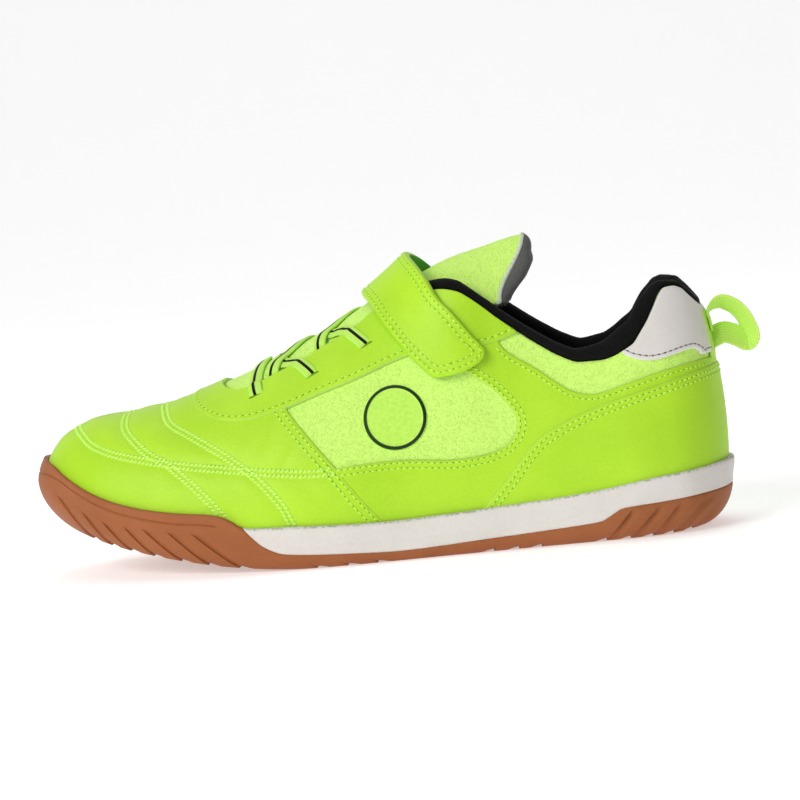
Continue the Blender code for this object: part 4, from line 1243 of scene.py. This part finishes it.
def make_sole():
    u = np.linspace(0, 1, 280)
    sides = []
    for side in (-1, 1):
        rows = sole_rows(u, side)
        tris = grid_tris(*rows.shape[:2])
        sides.append((rows.reshape(-1, rows.shape[2]), tris if side < 0 else tris[:, ::-1]))
    values, tris = join(sides)
    _, tris, values = weld(values[:, :3], tris, values)
    points = values[:, :3]
    behind = [(BEHIND_HEEL, 14.6), (BEHIND_HEEL, 70), (MIDSOLE_EDGE[0].along, 70)]
    wedge = np.vstack([edge_path(MIDSOLE_EDGE), behind])
    far, _, inside = line_distance(points[:, [0, 2]], wedge, True)
    foam_edge = np.where(inside, far, -far)
    below = rim_at(points[:, 0]) - points[:, 2]
    toe_gap = rib_places(TOE_RIBS, points)
    heel_gap = rib_places(HEEL_RIBS, points)
    tread = tread_places(points)
    values = np.hstack([values, np.stack([foam_edge, below, toe_gap, heel_gap, tread], 1)])
    for level in (0.0, -0.15, 0.15, -0.45, 0.45):
        values, tris = split(values, tris, FOAM_EDGE, level, snap=SOLE_SNAP)
    for level in (LINE_BELOW - 0.4, LINE_BELOW - 0.2, LINE_BELOW + 0.1, LINE_BELOW + 0.4):
        values, tris = split(values, tris, BELOW_RIM, level, snap=SOLE_SNAP)
    for column in (TOE_GAP, HEEL_GAP):
        for level in (-0.12, 0.12):
            values, tris = split(values, tris, column, level, 2.6, SOLE_SNAP)
    half = TREAD_WIDTH / 2
    for level in (-half, -half + TREAD_SLOPE, half - TREAD_SLOPE, half):
        values, tris = split(values, tris, TREAD_GAP, level, 2.8, SOLE_SNAP)
    x, y, z = values[:, 0], values[:, 1], values[:, 2]
    out, wall, inner, notch = values[:, 3:5], values[:, 5], values[:, 6], values[:, 7]
    foam_edge, below = values[:, FOAM_EDGE], values[:, BELOW_RIM]
    up = z - floor_at(x)
    seam = 0.4 * np.clip(1 - np.abs(foam_edge) / 0.45, 0, 1) ** 1.5
    on_gum = smoothstep((-foam_edge - 1.0) / 1.6)
    rib_top = 6.0 + 2.4 * smoothstep((42 - x) / 26)
    toe_fade = smoothstep((below - rib_top) / 2.2) * on_gum * (x < 76)
    heel_fade = smoothstep((225 - x) / 4) * on_gum * (x > 180)
    ribs = np.zeros(len(x))
    notches = np.zeros(len(x))
    for lines, pitch, depth, fade, ends, way in (
        (TOE_RIBS, TOE_PITCH, TOE_RIB_DEPTH, toe_fade, x < 120, 1),
        (HEEL_RIBS, HEEL_PITCH, HEEL_RIB_DEPTH, heel_fade, x > 140, -1),
    ):
        share = rib_places(lines, values[:, :3]) / pitch
        step = np.clip(1 - np.abs(share) / 0.5, 0, 1) ** 0.8
        ribs += depth * fade * step * (share > 0) * smoothstep((up + 0.4) / 1.6)
        notches += NOTCH_DEPTH * step * (share * way > 0) * ends * notch
    line_end = smoothstep((64 - x) / 3)
    line = 0.45 * line_end * np.clip(1 - np.abs(below - LINE_BELOW) / 0.4, 0, 1) ** 0.7 * (foam_edge < -0.5)
    inwards = (seam + ribs + line) * wall
    groove = np.clip((half - np.abs(tread_places(values[:, :3]))) / TREAD_SLOPE, 0, 1)
    raised = np.maximum(TREAD_DEPTH * groove * inner, notches)
    moved = np.stack([x - out[:, 0] * inwards, y - out[:, 1] * inwards, z + raised], 1)
    for name, node, material, slot, sign in (
        ("outsole_rubber", "outsole", gum, "gum_rubber", -1),
        ("midsole_foam", "midsole", foam, "white_foam", 1),
    ):
        whole = tris[(sign * foam_edge[tris] >= -1e-4).all(1)]
        solid, faces = cap(*compact(moved, whole))
        marks = {"below": np.clip(rim_at(solid[:, 0]) - solid[:, 2], 0, 9)}
        piece(name, solid, faces, material, [node], marks, sharp=38)


# Insole, collar and tongue


def make_insole():
    u = np.linspace(0, 1, 120)
    along = along_of(u)
    axis = np.stack([axis_of(along), crest_y_at(along)], 1)
    sides = []
    for side in (-1, 1):
        wall = skin(u, np.full(len(u), float(side)), -(UPPER_WALL + 0.7))[:, :2]
        grid = []
        for share in np.linspace(0, 1, 24):
            xy = axis + (wall - axis) * share
            cup = 1.2 * share**6
            grid.append(np.hstack([xy, (bed_at(xy[:, 0]) + SEAM_GAP + INSOLE_THICK + cup)[:, None]]))
        grid = np.stack(grid, 1)
        faces = grid_tris(*grid.shape[:2])
        sides.append((grid.reshape(-1, 3), faces if side < 0 else faces[:, ::-1]))
    front, tris = join(sides)
    tris = face_out(front, tris, np.tile([0.0, 0.0, 1.0], (len(front), 1)))
    back = np.column_stack([front[:, :2], bed_at(front[:, 0]) + SEAM_GAP])
    points, tris, _ = shell(front, back, tris, np.zeros((len(front), 1)))
    piece("insole_bed", points, tris, insole_cloth, ["insole"])


def closed_path(points, per_span):
    """Smooth closed ring through the given points."""
    points = np.asarray(points, float)
    ring = smooth_path(np.vstack([points[-2:], points, points[:2]]), per_span)
    return ring[2 * per_span : (len(points) + 2) * per_span]


def tube_tris(rings, points):
    """Triangles of a tube of closed rings with a fan at each end; two centre points follow the rings."""
    tris = []
    index = np.arange(rings * points).reshape(rings, points)
    after = np.roll(index, -1, axis=1)
    a, b, c, d = index[:-1], index[1:], after[1:], after[:-1]
    tris.append(np.stack([a, b, c], -1).reshape(-1, 3))
    tris.append(np.stack([a, c, d], -1).reshape(-1, 3))
    start, end = rings * points, rings * points + 1
    tris.append(np.stack([index[0], after[0], np.full(points, start)], 1))
    tris.append(np.stack([after[-1], index[-1], np.full(points, end)], 1))
    return np.vstack(tris)


def sweep(rings):
    """Closed solid through rings of points, turned to face outwards."""
    rings = np.asarray(rings, float)
    count, size = rings.shape[:2]
    points = np.vstack([rings.reshape(-1, 3), rings[0].mean(0), rings[-1].mean(0)])
    tris = tube_tris(count, size)
    middle = np.repeat(rings.mean(1), size, axis=0)
    outwards = np.vstack([rings.reshape(-1, 3) - middle, [(0, 0, 0), (0, 0, 0)]])
    return points, face_out(points, tris, outwards)


def make_collar():
    first = float(u_of(COLLAR_FRONT))
    stand_at = curve(COLLAR_STAND, lambda s: s.share)
    run = np.linspace(first, 1, 150)
    profile = closed_path([(p.above, p.depth) for p in COLLAR_PROFILE], 5)
    rings = []
    for side, stations in ((-1, run), (1, run[:-1][::-1])):
        for u in stations:
            along = float(along_of(u))
            edge = float(topline_at(along))
            full = min(1.0, COLLAR_FRONT_PADDING + (along - COLLAR_FRONT) / 70)
            stand = float(stand_at(along))
            above = np.where(profile[:, 0] > 1, profile[:, 0] * stand, profile[:, 0])
            soft = np.maximum(profile[:, 1] - COLLAR_BACKING, 0)
            depth = np.minimum(profile[:, 1], COLLAR_BACKING) + soft * full
            size = v_at_height(u, edge + above)
            rings.append(skin(np.full(len(size), u), side * size, -depth))
    points, tris = sweep(rings)
    thing = piece("collar_padding", points, tris, collar_cloth, ["collar_lining"])


def tongue_surface(alongs, shares):
    """Front of the tongue: filling the throat at first, then standing free behind the strap."""
    crest = curve(TONGUE, lambda t: t.crest)
    half = curve(TONGUE, lambda t: t.half)
    hang = curve(TONGUE, lambda t: t.hang)
    sweep_back = curve(TONGUE, lambda t: t.sweep)
    along = alongs[:, None]
    share = shares[None, :]
    free = smoothstep((along - 116) / 18)[..., None]
    drop = np.abs(share) ** 1.9
    hung = np.stack([
        along - sweep_back(along) * smoothstep(drop * 1.05),
        0.2 + share * half(along),
        crest(along) - hang(along) * drop,
    ], -1)
    u = u_of(along) + 0 * share
    v = share * 0.36 + 0 * along
    inside = (throat_edge(u) - np.abs(v)) * 62
    close = skin(u, v, -(UPPER_WALL + 1.0) + 3.1 * smoothstep((inside - 0.2) / 1.9))
    return close + (hung - close) * free


def make_tongue():
    alongs = np.linspace(54, TONGUE[-1].along, 170)
    shares = np.sin(np.linspace(-1, 1, 85) * math.pi / 2)
    front = tongue_surface(alongs, shares)
    ahead = np.gradient(front, axis=0)
    across = np.gradient(front, axis=1)
    normal = unit(np.cross(across, ahead))
    normal = normal * np.sign(normal[..., 2:3].mean())
    end = smoothstep((alongs[:, None] - 140) / 22)
    side_fade = np.sqrt(np.clip(1 - np.abs(shares[None, :]) ** 5, 0, 1))
    full = TONGUE_SIDE_THICK + (TONGUE_THICK - TONGUE_SIDE_THICK) * side_fade * (1 - end)
    full = full + (TONGUE_END_THICK - TONGUE_SIDE_THICK) * end
    swell = 0.5 * side_fade * smoothstep((alongs[:, None] - 126) / 14) * (1 - end)
    back = front - normal * full[..., None]
    front = front + normal * swell[..., None]
    rolls = []
    reach = curve(TONGUE_ROLL, lambda r: r.reach, "share")(np.abs(shares))[:, None]
    middle = (front[-1] + back[-1]) / 2
    radius = (front[-1] - back[-1]) / 2
    outwards = unit(ahead[-1])
    for angle in np.radians([10, 25, 45, 70, 95, 120, 145, 170]):
        rolls.append(middle + radius * math.cos(angle) + outwards * reach * math.sin(angle))
    rows = np.concatenate([front, np.stack(rolls)])
    backs = np.concatenate([back, np.repeat(back[-1:], len(rolls), axis=0)])
    normals = np.concatenate([normal, np.repeat(normal[-1:], len(rolls), axis=0)])
    back_rows = backs - 0.02 * normals
    lining = np.concatenate([np.zeros(len(alongs)), np.ones(len(rolls))])[:, None] + 0 * shares[None, :]
    t = np.concatenate([alongs, alongs[-1] + np.arange(1, len(rolls) + 1)])[:, None] + 0 * shares[None, :]
    s = shares[None, :] * 15.0 + 0 * t
    values = np.stack([t, s, lining], -1).reshape(-1, 3)
    flat_front = rows.reshape(-1, 3)
    tris = face_out(flat_front, grid_tris(len(rows), len(shares)), normals.reshape(-1, 3))
    points, tris, values = shell(flat_front, back_rows.reshape(-1, 3), tris, values)
    marks = {"behind": np.maximum(values[:, 2], values[:, 3])}
    thing = piece("tongue_pad", points, tris, tongue_knit, ["tongue"], marks, values[:, :2])
    start = int(np.searchsorted(alongs, 164.6))
    border = np.vstack([front[start:, 0], front[-1, 1:-1], front[start:, -1][::-1]])
    ways = np.vstack([normal[start:, 0], normal[-1, 1:-1], normal[start:, -1][::-1]])
    make_binding(border, ways)


def make_binding(border, ways):
    """Piping round the free edge of the tongue."""
    ahead = unit(np.gradient(border, axis=0))
    side = unit(np.cross(ahead, ways))
    angles = np.linspace(0, 2 * math.pi, 14, endpoint=False)[:, None]
    flat = np.cos(angles) * PIPING_HALF[0]
    tall = np.sin(angles) * PIPING_HALF[1]
    points, tris = sweep(border[:, None] + side[:, None] * flat + ways[:, None] * tall)
    piece("tongue_binding", points, tris, binding_cloth)


# Laces, strap, loop and badge


def squared(wave, power):
    """A sine or cosine whose ring is pushed out towards a box."""
    return np.sign(wave) * np.abs(wave) ** power


def ribbon(name, spots, across, outwards, width, thick, material, replaces=()):
    """Flat woven band along points, with rounded edges."""
    angles = np.linspace(0, 2 * math.pi, 20, endpoint=False)
    share = squared(np.cos(angles), 0.55)
    wide = share[:, None] * width / 2
    tall = squared(np.sin(angles), 0.7)[:, None] * thick / 2
    points, tris = sweep(spots[:, None] + across[:, None] * wide + outwards[:, None] * tall)
    run = lengths(spots)
    marks = {
        "across": np.concatenate([np.tile(share, len(spots)), [0, 0]]),
        "run": np.concatenate([np.repeat(run, len(angles)), [0, run[-1]]]),
    }
    return piece(name, points, tris, material, replaces, marks)


def lace(name, line, lift, replaces=()):
    """Lace laid over the upper along u and v."""
    spots = skin(line[:, 0], line[:, 1], lift)
    outwards = skin_normal(line[:, 0], line[:, 1])
    ahead = unit(np.gradient(spots, axis=0))
    across = unit(np.cross(ahead, outwards))
    outwards = unit(np.cross(across, ahead))
    outwards = outwards * np.sign(np.sum(outwards[len(spots) // 2] * skin_normal(*line[len(spots) // 2])))
    return ribbon(name, spots, across, outwards, LACE_WIDTH, LACE_THICK, lace_tape, replaces)


def throat_edge(u):
    """Size of v at the edge of the throat."""
    return v_at_height(u, topline_at(along_of(u)))


def lace_level(line):
    """Stand-off of a lace: low on the tongue inside the throat, higher over the eyestay."""
    over = smoothstep((np.abs(line[:, 1]) - throat_edge(line[:, 0]) + 0.03) / 0.06)
    return LACE_LIFT + (TOP_OF["eyestay"] + 0.5 - LACE_LIFT) * over


def make_laces():
    others = [uv_at(s.along, s.height) for s in LACE_SLOTS[1:]]
    near = [(float(u_of(r.along)), r.v) for r in LACE_BAR]
    bar = smooth_path(near + [(u, -v) for u, v in near[-2::-1]], 12)
    run = lengths(last_point(bar[:, 0], bar[:, 1]))
    sink = np.exp(-run / SLOT_REACH) + np.exp(-(run[-1] - run) / SLOT_REACH)
    lace("lace_bar_tape", bar, lace_level(bar) - SLOT_SINK * sink, ["lace_bar"])
    for number, slot in enumerate(others):
        level = ("lower", "upper")[number]
        for kind, table in (("over", LACE_OVER[number]), ("under", LACE_UNDER[number])):
            spots = [(float(u_of(r.along)), r.v) for r in table]
            spots[-1] = (float(slot[0]), math.copysign(float(slot[1]), table[-1].v))
            line = smooth_path(spots, 14)
            run = lengths(last_point(line[:, 0], line[:, 1]))
            sink = 3.2 * np.exp(-((run / 2.2) ** 2)) + SLOT_SINK * np.exp(-(run[-1] - run) / SLOT_REACH)
            lift = lace_level(line) - sink
            if kind == "over":
                lift = lift + 1.1 * np.exp(-(((run - 7.0) / 4.5) ** 2))
            else:
                lift = lift - 0.9 * smoothstep((line[:, 1] + 0.2) / 0.1)
            replaced = ["lace_cross_" + level] if kind == "over" else []
            lace("lace_cross_" + level + "_" + kind, line, lift, replaced)


def make_slots():
    """Punched slots that the laces go into, dark inside as painted shade."""
    angles = np.linspace(0, 2 * math.pi, 16, endpoint=False)[:, None]
    slots = []
    for slot in LACE_SLOTS:
        u, v = (float(part) for part in uv_at(slot.along, slot.height))
        for side in (-1, 1):
            spot = skin(u, side * v, TOP_OF["eyestay"])
            out = skin_normal(u, side * v)
            ahead = unit(SLOT_WAY - out * np.dot(SLOT_WAY, out))
            down = np.cross(ahead, out)
            ring = ahead * squared(np.cos(angles), 0.5) * SLOT_HALF[0]
            ring = ring + down * squared(np.sin(angles), 0.5) * SLOT_HALF[1]
            levels = ((-0.1, 1.0), (0.03, 1.0), (0.06, 0.8))
            slots.append(sweep([spot + ring * grow + out * tall for tall, grow in levels]))
    points, tris = join(slots)
    piece("lace_slots", points, tris, hole_shade_paint)


def make_strap():
    rows = []
    for part in STRAP:
        u_f, v_f = uv_at(part.front_along, part.front_height)
        u_r, v_r = uv_at(part.rear_along, part.rear_height)
        rows.append((u_f, v_f, part.lift_front, u_r, v_r, part.lift_rear))
    lateral = np.array(rows, float)
    medial = lateral[::-1].copy()
    lateral[:, [1, 4]] *= -1
    crest = (
        float(u_of(STRAP_CREST.front_along)), 0.0, STRAP_CREST.lift_front,
        float(u_of(STRAP_CREST.rear_along)), 0.0, STRAP_CREST.lift_rear,
    )
    table = smooth_path(np.vstack([lateral, crest, medial]), 16)
    share = np.linspace(0, 1, 47)[None, :]
    u = table[:, 0:1] + (table[:, 3:4] - table[:, 0:1]) * share
    v = table[:, 1:2] + (table[:, 4:5] - table[:, 1:2]) * share
    lift = table[:, 2:3] + (table[:, 5:6] - table[:, 2:3]) * share
    base = skin(u, v, lift)
    over = lengths(np.swapaxes(base, 0, 1)).T
    run = lengths(base)
    edge = np.minimum(np.minimum(over, over[:, -1:] - over), np.minimum(run, run[-1:] - run)).reshape(-1)
    spots = last_point(u, v).reshape(-1, 3)
    end = np.vstack([edge_path(STRAP_END), [(133, 95), (115, 90)]])
    far, way, inside = line_distance(spots[:, [0, 2]], end, True)
    rounded = np.where(inside, 1, -1) * on_surface(far, way, skin_normal(u, v).reshape(-1, 3))
    edge = rounded + (edge - rounded) * smoothstep((spots[:, 2] - 66) / 14)
    values = np.stack([u.reshape(-1), v.reshape(-1), lift.reshape(-1), edge], -1)
    tris = face_out(base.reshape(-1, 3), grid_tris(*u.shape), skin_normal(u, v).reshape(-1, 3))
    values, tris = keep_above(values, tris, STRAP_EDGE, 0.0)
    for distance in (1.6, 3.5):
        for line in contour(values, tris, STRAP_EDGE, distance):
            sew("strap", line[:, 0], line[:, 1], line[:, 2] + STRAP_THICK + THREAD_LIFT)
    for distance in (0.06, 0.2, 0.5, STRAP_ROUND):
        values, tris = split(values, tris, STRAP_EDGE, distance)
    u, v, lift, edge = values.T
    round_off = np.sqrt(1 - (1 - np.clip(edge / STRAP_ROUND, 0, 1)) ** 2)
    dent = 0.12 * np.exp(-(((edge - 2.9) / 1.2) ** 2))
    front = skin(u, v, lift + STRAP_RIM + (STRAP_THICK - STRAP_RIM) * round_off - dent)
    back = skin(u, v, lift)
    points, tris, values = shell(front, back, tris, values)
    marks = {"edge": values[:, STRAP_EDGE] + 0.3, "behind": values[:, -1]}
    piece("strap_band", points, tris, lime_leather, ["strap"], marks)


def make_heel_tape():
    """Webbing sewn up the back of the heel, from under the counter to the loop."""
    heights = np.linspace(*HEEL_TAPE, 40)[:, None]
    turn = np.linspace(-1, 1, 33)[None, :]
    u = u_of(UPPER_HEEL - HEEL_TAPE_WRAP * turn**2) + 0 * heights
    v = np.where(turn < 0, -1, 1) * v_at_height(u, heights)
    over = smoothstep((heights - HEEL_TAPE_STEP) / 3.0)
    lift = 0.15 + 0.4 * over + 0 * turn
    thick = HEEL_TAPE_THICK * np.sqrt(np.clip(1 - np.abs(turn) ** 12, 0.04, 1)) + 0 * heights
    front = skin(u, v, lift + thick).reshape(-1, 3)
    back = skin(u, v, lift).reshape(-1, 3)
    marks = np.stack([heights + 0 * turn, turn + 0 * heights], -1).reshape(-1, 2)
    tris = face_out(front, grid_tris(*u.shape), skin_normal(u, v).reshape(-1, 3))
    points, tris, marks = shell(front, back, tris, marks)
    piece("heel_tape", points, tris, loop_tape, (), {"run": marks[:, 0], "across": marks[:, 1]})


def make_loop():
    low, high = LOOP_STRIP
    stand = TOP_OF["tab"] + 0.15 + LOOP_THICK / 2
    heights = np.linspace(low, high, 4)
    strip = skin(np.ones(4), v_at_height(np.ones(4), heights), np.full(4, stand))
    path = smooth_path([(p[0], p[2]) for p in strip] + [(e.along, e.height) for e in LOOP], 10)
    ahead = unit(np.gradient(path, axis=0))
    flat = np.stack([-ahead[:, 1], np.zeros(len(path)), ahead[:, 0]], 1)
    share = np.linspace(0, 1, len(path))
    twist = LOOP_TWIST + (LOOP_RETURN_TWIST - LOOP_TWIST) * smoothstep((share - 0.5) / 0.3)
    twist = (twist * smoothstep((share - 0.16) / 0.2))[:, None]
    cross = np.array([[0.0, 1.0, 0.0]])
    across = cross * np.cos(twist) + flat * np.sin(twist)
    outwards = flat * np.cos(twist) - cross * np.sin(twist)
    spots = np.stack([path[:, 0], np.full(len(path), float(centre_at(UPPER_HEEL))), path[:, 1]], 1)
    ribbon(
        "loop_webbing", spots, across, outwards, LOOP_WIDTH, LOOP_THICK, loop_tape, ["pull_loop"]
    )


BADGE = Edge(122.2, 46.0)
BADGE_RADIUS = 10.3


def make_badge():
    """Plain round rubber patch with a raised border, on the outer mesh window."""
    radii = np.concatenate([np.linspace(0, 0.8, 16), np.linspace(0.82, 1.0, 22)])
    angles = np.linspace(0, 2 * math.pi, 97)
    r = radii[:, None]
    along = BADGE.along + BADGE_RADIUS * r * np.cos(angles)[None, :]
    height = BADGE.height + BADGE_RADIUS * r * np.sin(angles)[None, :]
    u, v = uv_at(along, height)
    round_off = np.sqrt(np.clip(1 - np.clip((r - 0.96) / 0.04, 0, 1) ** 2, 0, 1))
    border = 0.35 * np.exp(-(((r - 0.91) / 0.035) ** 2))
    dome = 0.25 * (1 - np.clip(r / 0.86, 0, 1) ** 2)
    front = skin(u, -v, SIT + (0.6 + border + dome) * round_off).reshape(-1, 3)
    back = skin(u, -v, np.full(u.shape, SIT)).reshape(-1, 3)
    tris = face_out(front, grid_tris(*u.shape), skin_normal(u, -v).reshape(-1, 3))
    ring = (r + 0 * angles[None, :]).reshape(-1, 1)
    points, tris, values = shell(front, back, tris, ring)
    piece("badge_patch", points, tris, badge_rubber, (), {"ring": values[:, 0]})


# Stitches


def stitch_tree():
    """Stitches along mesh lines: one flattened grain of thread at each pitch."""
    tree = bpy.data.node_groups.new("stitch_row", "GeometryNodeTree")
    tree.interface.new_socket("Line", in_out="INPUT", socket_type="NodeSocketGeometry")
    for label in ("Pitch", "Length", "Width", "Height", "Slant", "Shift"):
        tree.interface.new_socket(label, in_out="INPUT", socket_type="NodeSocketFloat")
    for label in ("Segments", "Rings"):
        tree.interface.new_socket(label, in_out="INPUT", socket_type="NodeSocketInt")
    tree.interface.new_socket("Thread", in_out="INPUT", socket_type="NodeSocketMaterial")
    tree.interface.new_socket("Stitches", in_out="OUTPUT", socket_type="NodeSocketGeometry")

    def add(kind, settings=None, sockets=None):
        return add_node(tree, kind, settings, sockets)

    given = add("NodeGroupInput").outputs
    line = add("GeometryNodeMeshToCurve", None, {0: given["Line"]})
    spaced = add("GeometryNodeResampleCurve", {"mode": "LENGTH"}, {
        0: line.outputs[0], "Length": given["Pitch"],
    })
    size = add("ShaderNodeCombineXYZ", None, {0: given["Length"], 1: given["Width"], 2: given["Height"]})
    turn = add("ShaderNodeCombineXYZ", None, {2: given["Slant"]})
    shift = add("ShaderNodeCombineXYZ", None, {0: given["Shift"]})
    grain = add("GeometryNodeMeshUVSphere", None, {
        "Segments": given["Segments"], "Rings": given["Rings"], "Radius": 0.5,
    })
    shaped = add("GeometryNodeTransform", None, {0: grain.outputs[0], "Scale": size.outputs[0]})
    slanted = add("GeometryNodeTransform", None, {
        0: shaped.outputs[0], "Rotation": turn.outputs[0], "Translation": shift.outputs[0],
    })
    smooth = add("GeometryNodeSetShadeSmooth", None, {0: slanted.outputs[0]})
    ahead = add("FunctionNodeAlignRotationToVector", {"axis": "X"}, {
        "Vector": add("GeometryNodeInputTangent").outputs[0],
    })
    out = add("GeometryNodeInputNamedAttribute", {"data_type": "FLOAT_VECTOR"}, {"Name": "out"})
    upright = add("FunctionNodeAlignRotationToVector", {"axis": "Z", "pivot_axis": "X"}, {
        "Rotation": ahead.outputs[0], "Vector": out.outputs[0],
    })
    set_out = add("GeometryNodeInstanceOnPoints", None, {
        0: spaced.outputs[0], "Instance": smooth.outputs[0], "Rotation": upright.outputs[0],
    })
    real = add("GeometryNodeRealizeInstances", None, {0: set_out.outputs[0]})
    dyed = add("GeometryNodeSetMaterial", None, {0: real.outputs[0], "Material": given["Thread"]})
    add("NodeGroupOutput", None, {0: dyed.outputs[0]})
    return tree


def stitched(name, rows, tree, settings, material):
    """Plain mesh of the stitches along all rows of one kind."""
    points = []
    ways = []
    edges = []
    for spots, out in rows:
        start = len(points)
        points.extend(place(spots).tolist())
        ways.extend(out.tolist())
        edges.extend((start + i, start + i + 1) for i in range(len(spots) - 1))
    mesh = bpy.data.meshes.new(name + "_line")
    mesh.from_pydata(points, edges, [])
    layer = mesh.attributes.new("out", "FLOAT_VECTOR", "POINT")
    layer.data.foreach_set("vector", np.array(ways, dtype=np.float32).reshape(-1))
    line = put(name + "_line", mesh)
    modifier = line.modifiers.new("stitches", "NODES")
    modifier.node_group = tree
    identifiers = {item.name: item.identifier for item in tree.interface.items_tree if item.in_out == "INPUT"}
    for label, value in settings.items():
        modifier[identifiers[label]] = value
    modifier[identifiers["Thread"]] = material
    graph = bpy.context.evaluated_depsgraph_get()
    made = bpy.data.meshes.new_from_object(line.evaluated_get(graph), depsgraph=graph)
    made.name = name
    bpy.data.objects.remove(line)
    return settle_piece(put(name, made))


# hole_long and hole_wide size the dark grain set between stitches, painted shade in the needle hole; on the
# heel tab that grain is grey thread.
Stitch = namedtuple("Stitch", "pitch length width height slant hole_long hole_wide")
STITCHES = {
    "edge": (Stitch(2.0, 1.5, 0.6, 0.5, 12, 0.6, 0.42), thread_lime, hole_shade_paint),
    "rope": (Stitch(1.45, 2.0, 1.05, 0.6, 34, 0.5, 0.4), thread_pale, faint_hole_shade_paint),
    "stay": (Stitch(2.3, 1.4, 0.5, 0.4, 20, 0.9, 0.4), thread_lime, hole_shade_paint),
    "strap": (Stitch(2.1, 1.3, 0.5, 0.35, 8, 0.6, 0.5), thread_lime, faint_hole_shade_paint),
    "tab": (Stitch(2.0, 1.35, 0.5, 0.35, 0, 0.5, 0.4), thread_grey, thread_grey),
}
GRAIN_FACES = (8, 4)
HOLE_FACES = (6, 3)
HOLE_HEIGHT = 0.14


def make_stitches():
    tree = stitch_tree()
    for kind, (stitch, thread, hole) in STITCHES.items():
        settings = {
            "Pitch": stitch.pitch * MM, "Length": stitch.length * MM, "Width": stitch.width * MM,
            "Height": stitch.height * MM, "Slant": math.radians(stitch.slant), "Shift": 0.0,
            "Segments": GRAIN_FACES[0], "Rings": GRAIN_FACES[1],
        }
        stitched("stitches_" + kind, sewn_rows[kind], tree, settings, thread)
        # A flat dark grain between stitches: painted shade in the needle hole.
        holes = dict(settings)
        holes.update({
            "Length": stitch.hole_long * MM, "Width": stitch.hole_wide * MM, "Height": HOLE_HEIGHT * MM,
            "Shift": stitch.pitch / 2 * MM, "Segments": HOLE_FACES[0], "Rings": HOLE_FACES[1],
        })
        stitched("holes_" + kind, sewn_rows[kind], tree, holes, hole)


# Floor, light and camera


def make_stage():
    """Pale floor that curves up into a backdrop."""
    reach, back, bend, high = 4.0, 1.2, 0.8, 3.5
    turn = np.linspace(0.1, math.pi / 2, 14)
    outline = [(-reach, 0.0), (back, 0.0)]
    outline += [(back + bend * math.sin(a), bend - bend * math.cos(a)) for a in turn]
    outline.append((back + bend, high))
    verts = [(x, y, z) for y, z in outline for x in (-reach, reach)]
    faces = [(2 * i, 2 * i + 1, 2 * i + 3, 2 * i + 2) for i in range(len(outline) - 1)]
    mesh = bpy.data.meshes.new("studio_floor")
    mesh.from_pydata(verts, [], faces)
    mesh.polygons.foreach_set("use_smooth", np.ones(len(faces), dtype=bool))
    paint = Finish(
        "studio_paint", base_color=(0.9, 0.9, 0.9, 1.0), roughness=0.9,
        emission_color=(1.0, 1.0, 1.0, 1.0), emission_strength=0.42,
    )
    mesh.materials.append(paint.material)
    put("studio_floor", mesh)


def add_light(name, spot, target, size, power):
    light = bpy.data.lights.new(name, "AREA")
    light.shape = "RECTANGLE"
    light.size, light.size_y = size
    light.energy = power
    lamp = put(name, light)
    lamp.location = spot
    lamp.rotation_euler = (Vector(target) - Vector(spot)).to_track_quat("-Z", "Y").to_euler()


def make_light():
    world = bpy.data.worlds.new("studio")
    bpy.context.scene.world = world
    world.use_nodes = True
    sky = world.node_tree.nodes["Background"]
    sky.inputs["Color"].default_value = (1.0, 1.0, 1.0, 1.0)
    sky.inputs["Strength"].default_value = 0.16
    middle = (0.0, 0.0, 0.05)
    add_light("key", (-0.95, -1.35, 0.95), middle, (1.0, 0.9), 20)
    add_light("fill", (0.3, -1.6, 0.6), middle, (0.9, 0.9), 2)
    add_light("over", (-0.2, 0.3, 1.5), middle, (1.4, 0.9), 6)
    bpy.context.scene.view_settings.view_transform = "Standard"


# The photograph's view: turn about the shoe, height, roll and framing
CAMERA_TURN = math.radians(5.0)
CAMERA_HEIGHT = math.radians(5.0)
CAMERA_ROLL = math.radians(5.1)
CAMERA_DISTANCE = 1.25
CAMERA_TARGET = Vector((0.0026, -0.01, 0.0497))
SENSOR_WIDTH = 36
PICTURE_WIDTH = 800
FOCAL_PIXELS = 3815
CAMERA_LENS = FOCAL_PIXELS * SENSOR_WIDTH / PICTURE_WIDTH


def make_camera():
    way = Vector((
        math.sin(CAMERA_TURN) * math.cos(CAMERA_HEIGHT),
        -math.cos(CAMERA_TURN) * math.cos(CAMERA_HEIGHT),
        math.sin(CAMERA_HEIGHT),
    ))
    data = bpy.data.cameras.new("camera")
    data.sensor_width = SENSOR_WIDTH
    data.lens = CAMERA_LENS
    camera = put("camera", data)
    turn = (-way).to_track_quat("-Z", "Y").to_matrix() @ Matrix.Rotation(-CAMERA_ROLL, 3, "Z")
    camera.matrix_world = Matrix.Translation(CAMERA_TARGET + way * CAMERA_DISTANCE) @ turn.to_4x4()
    bpy.context.scene.camera = camera


make_camera()
make_light()
make_stage()
make_sole()
make_insole()
make_upper()
make_panels()
sew_collar_edge()
sew_vamp()
make_collar()
make_tongue()
make_laces()
make_slots()
make_strap()
make_heel_tape()
make_loop()
make_badge()
make_stitches()
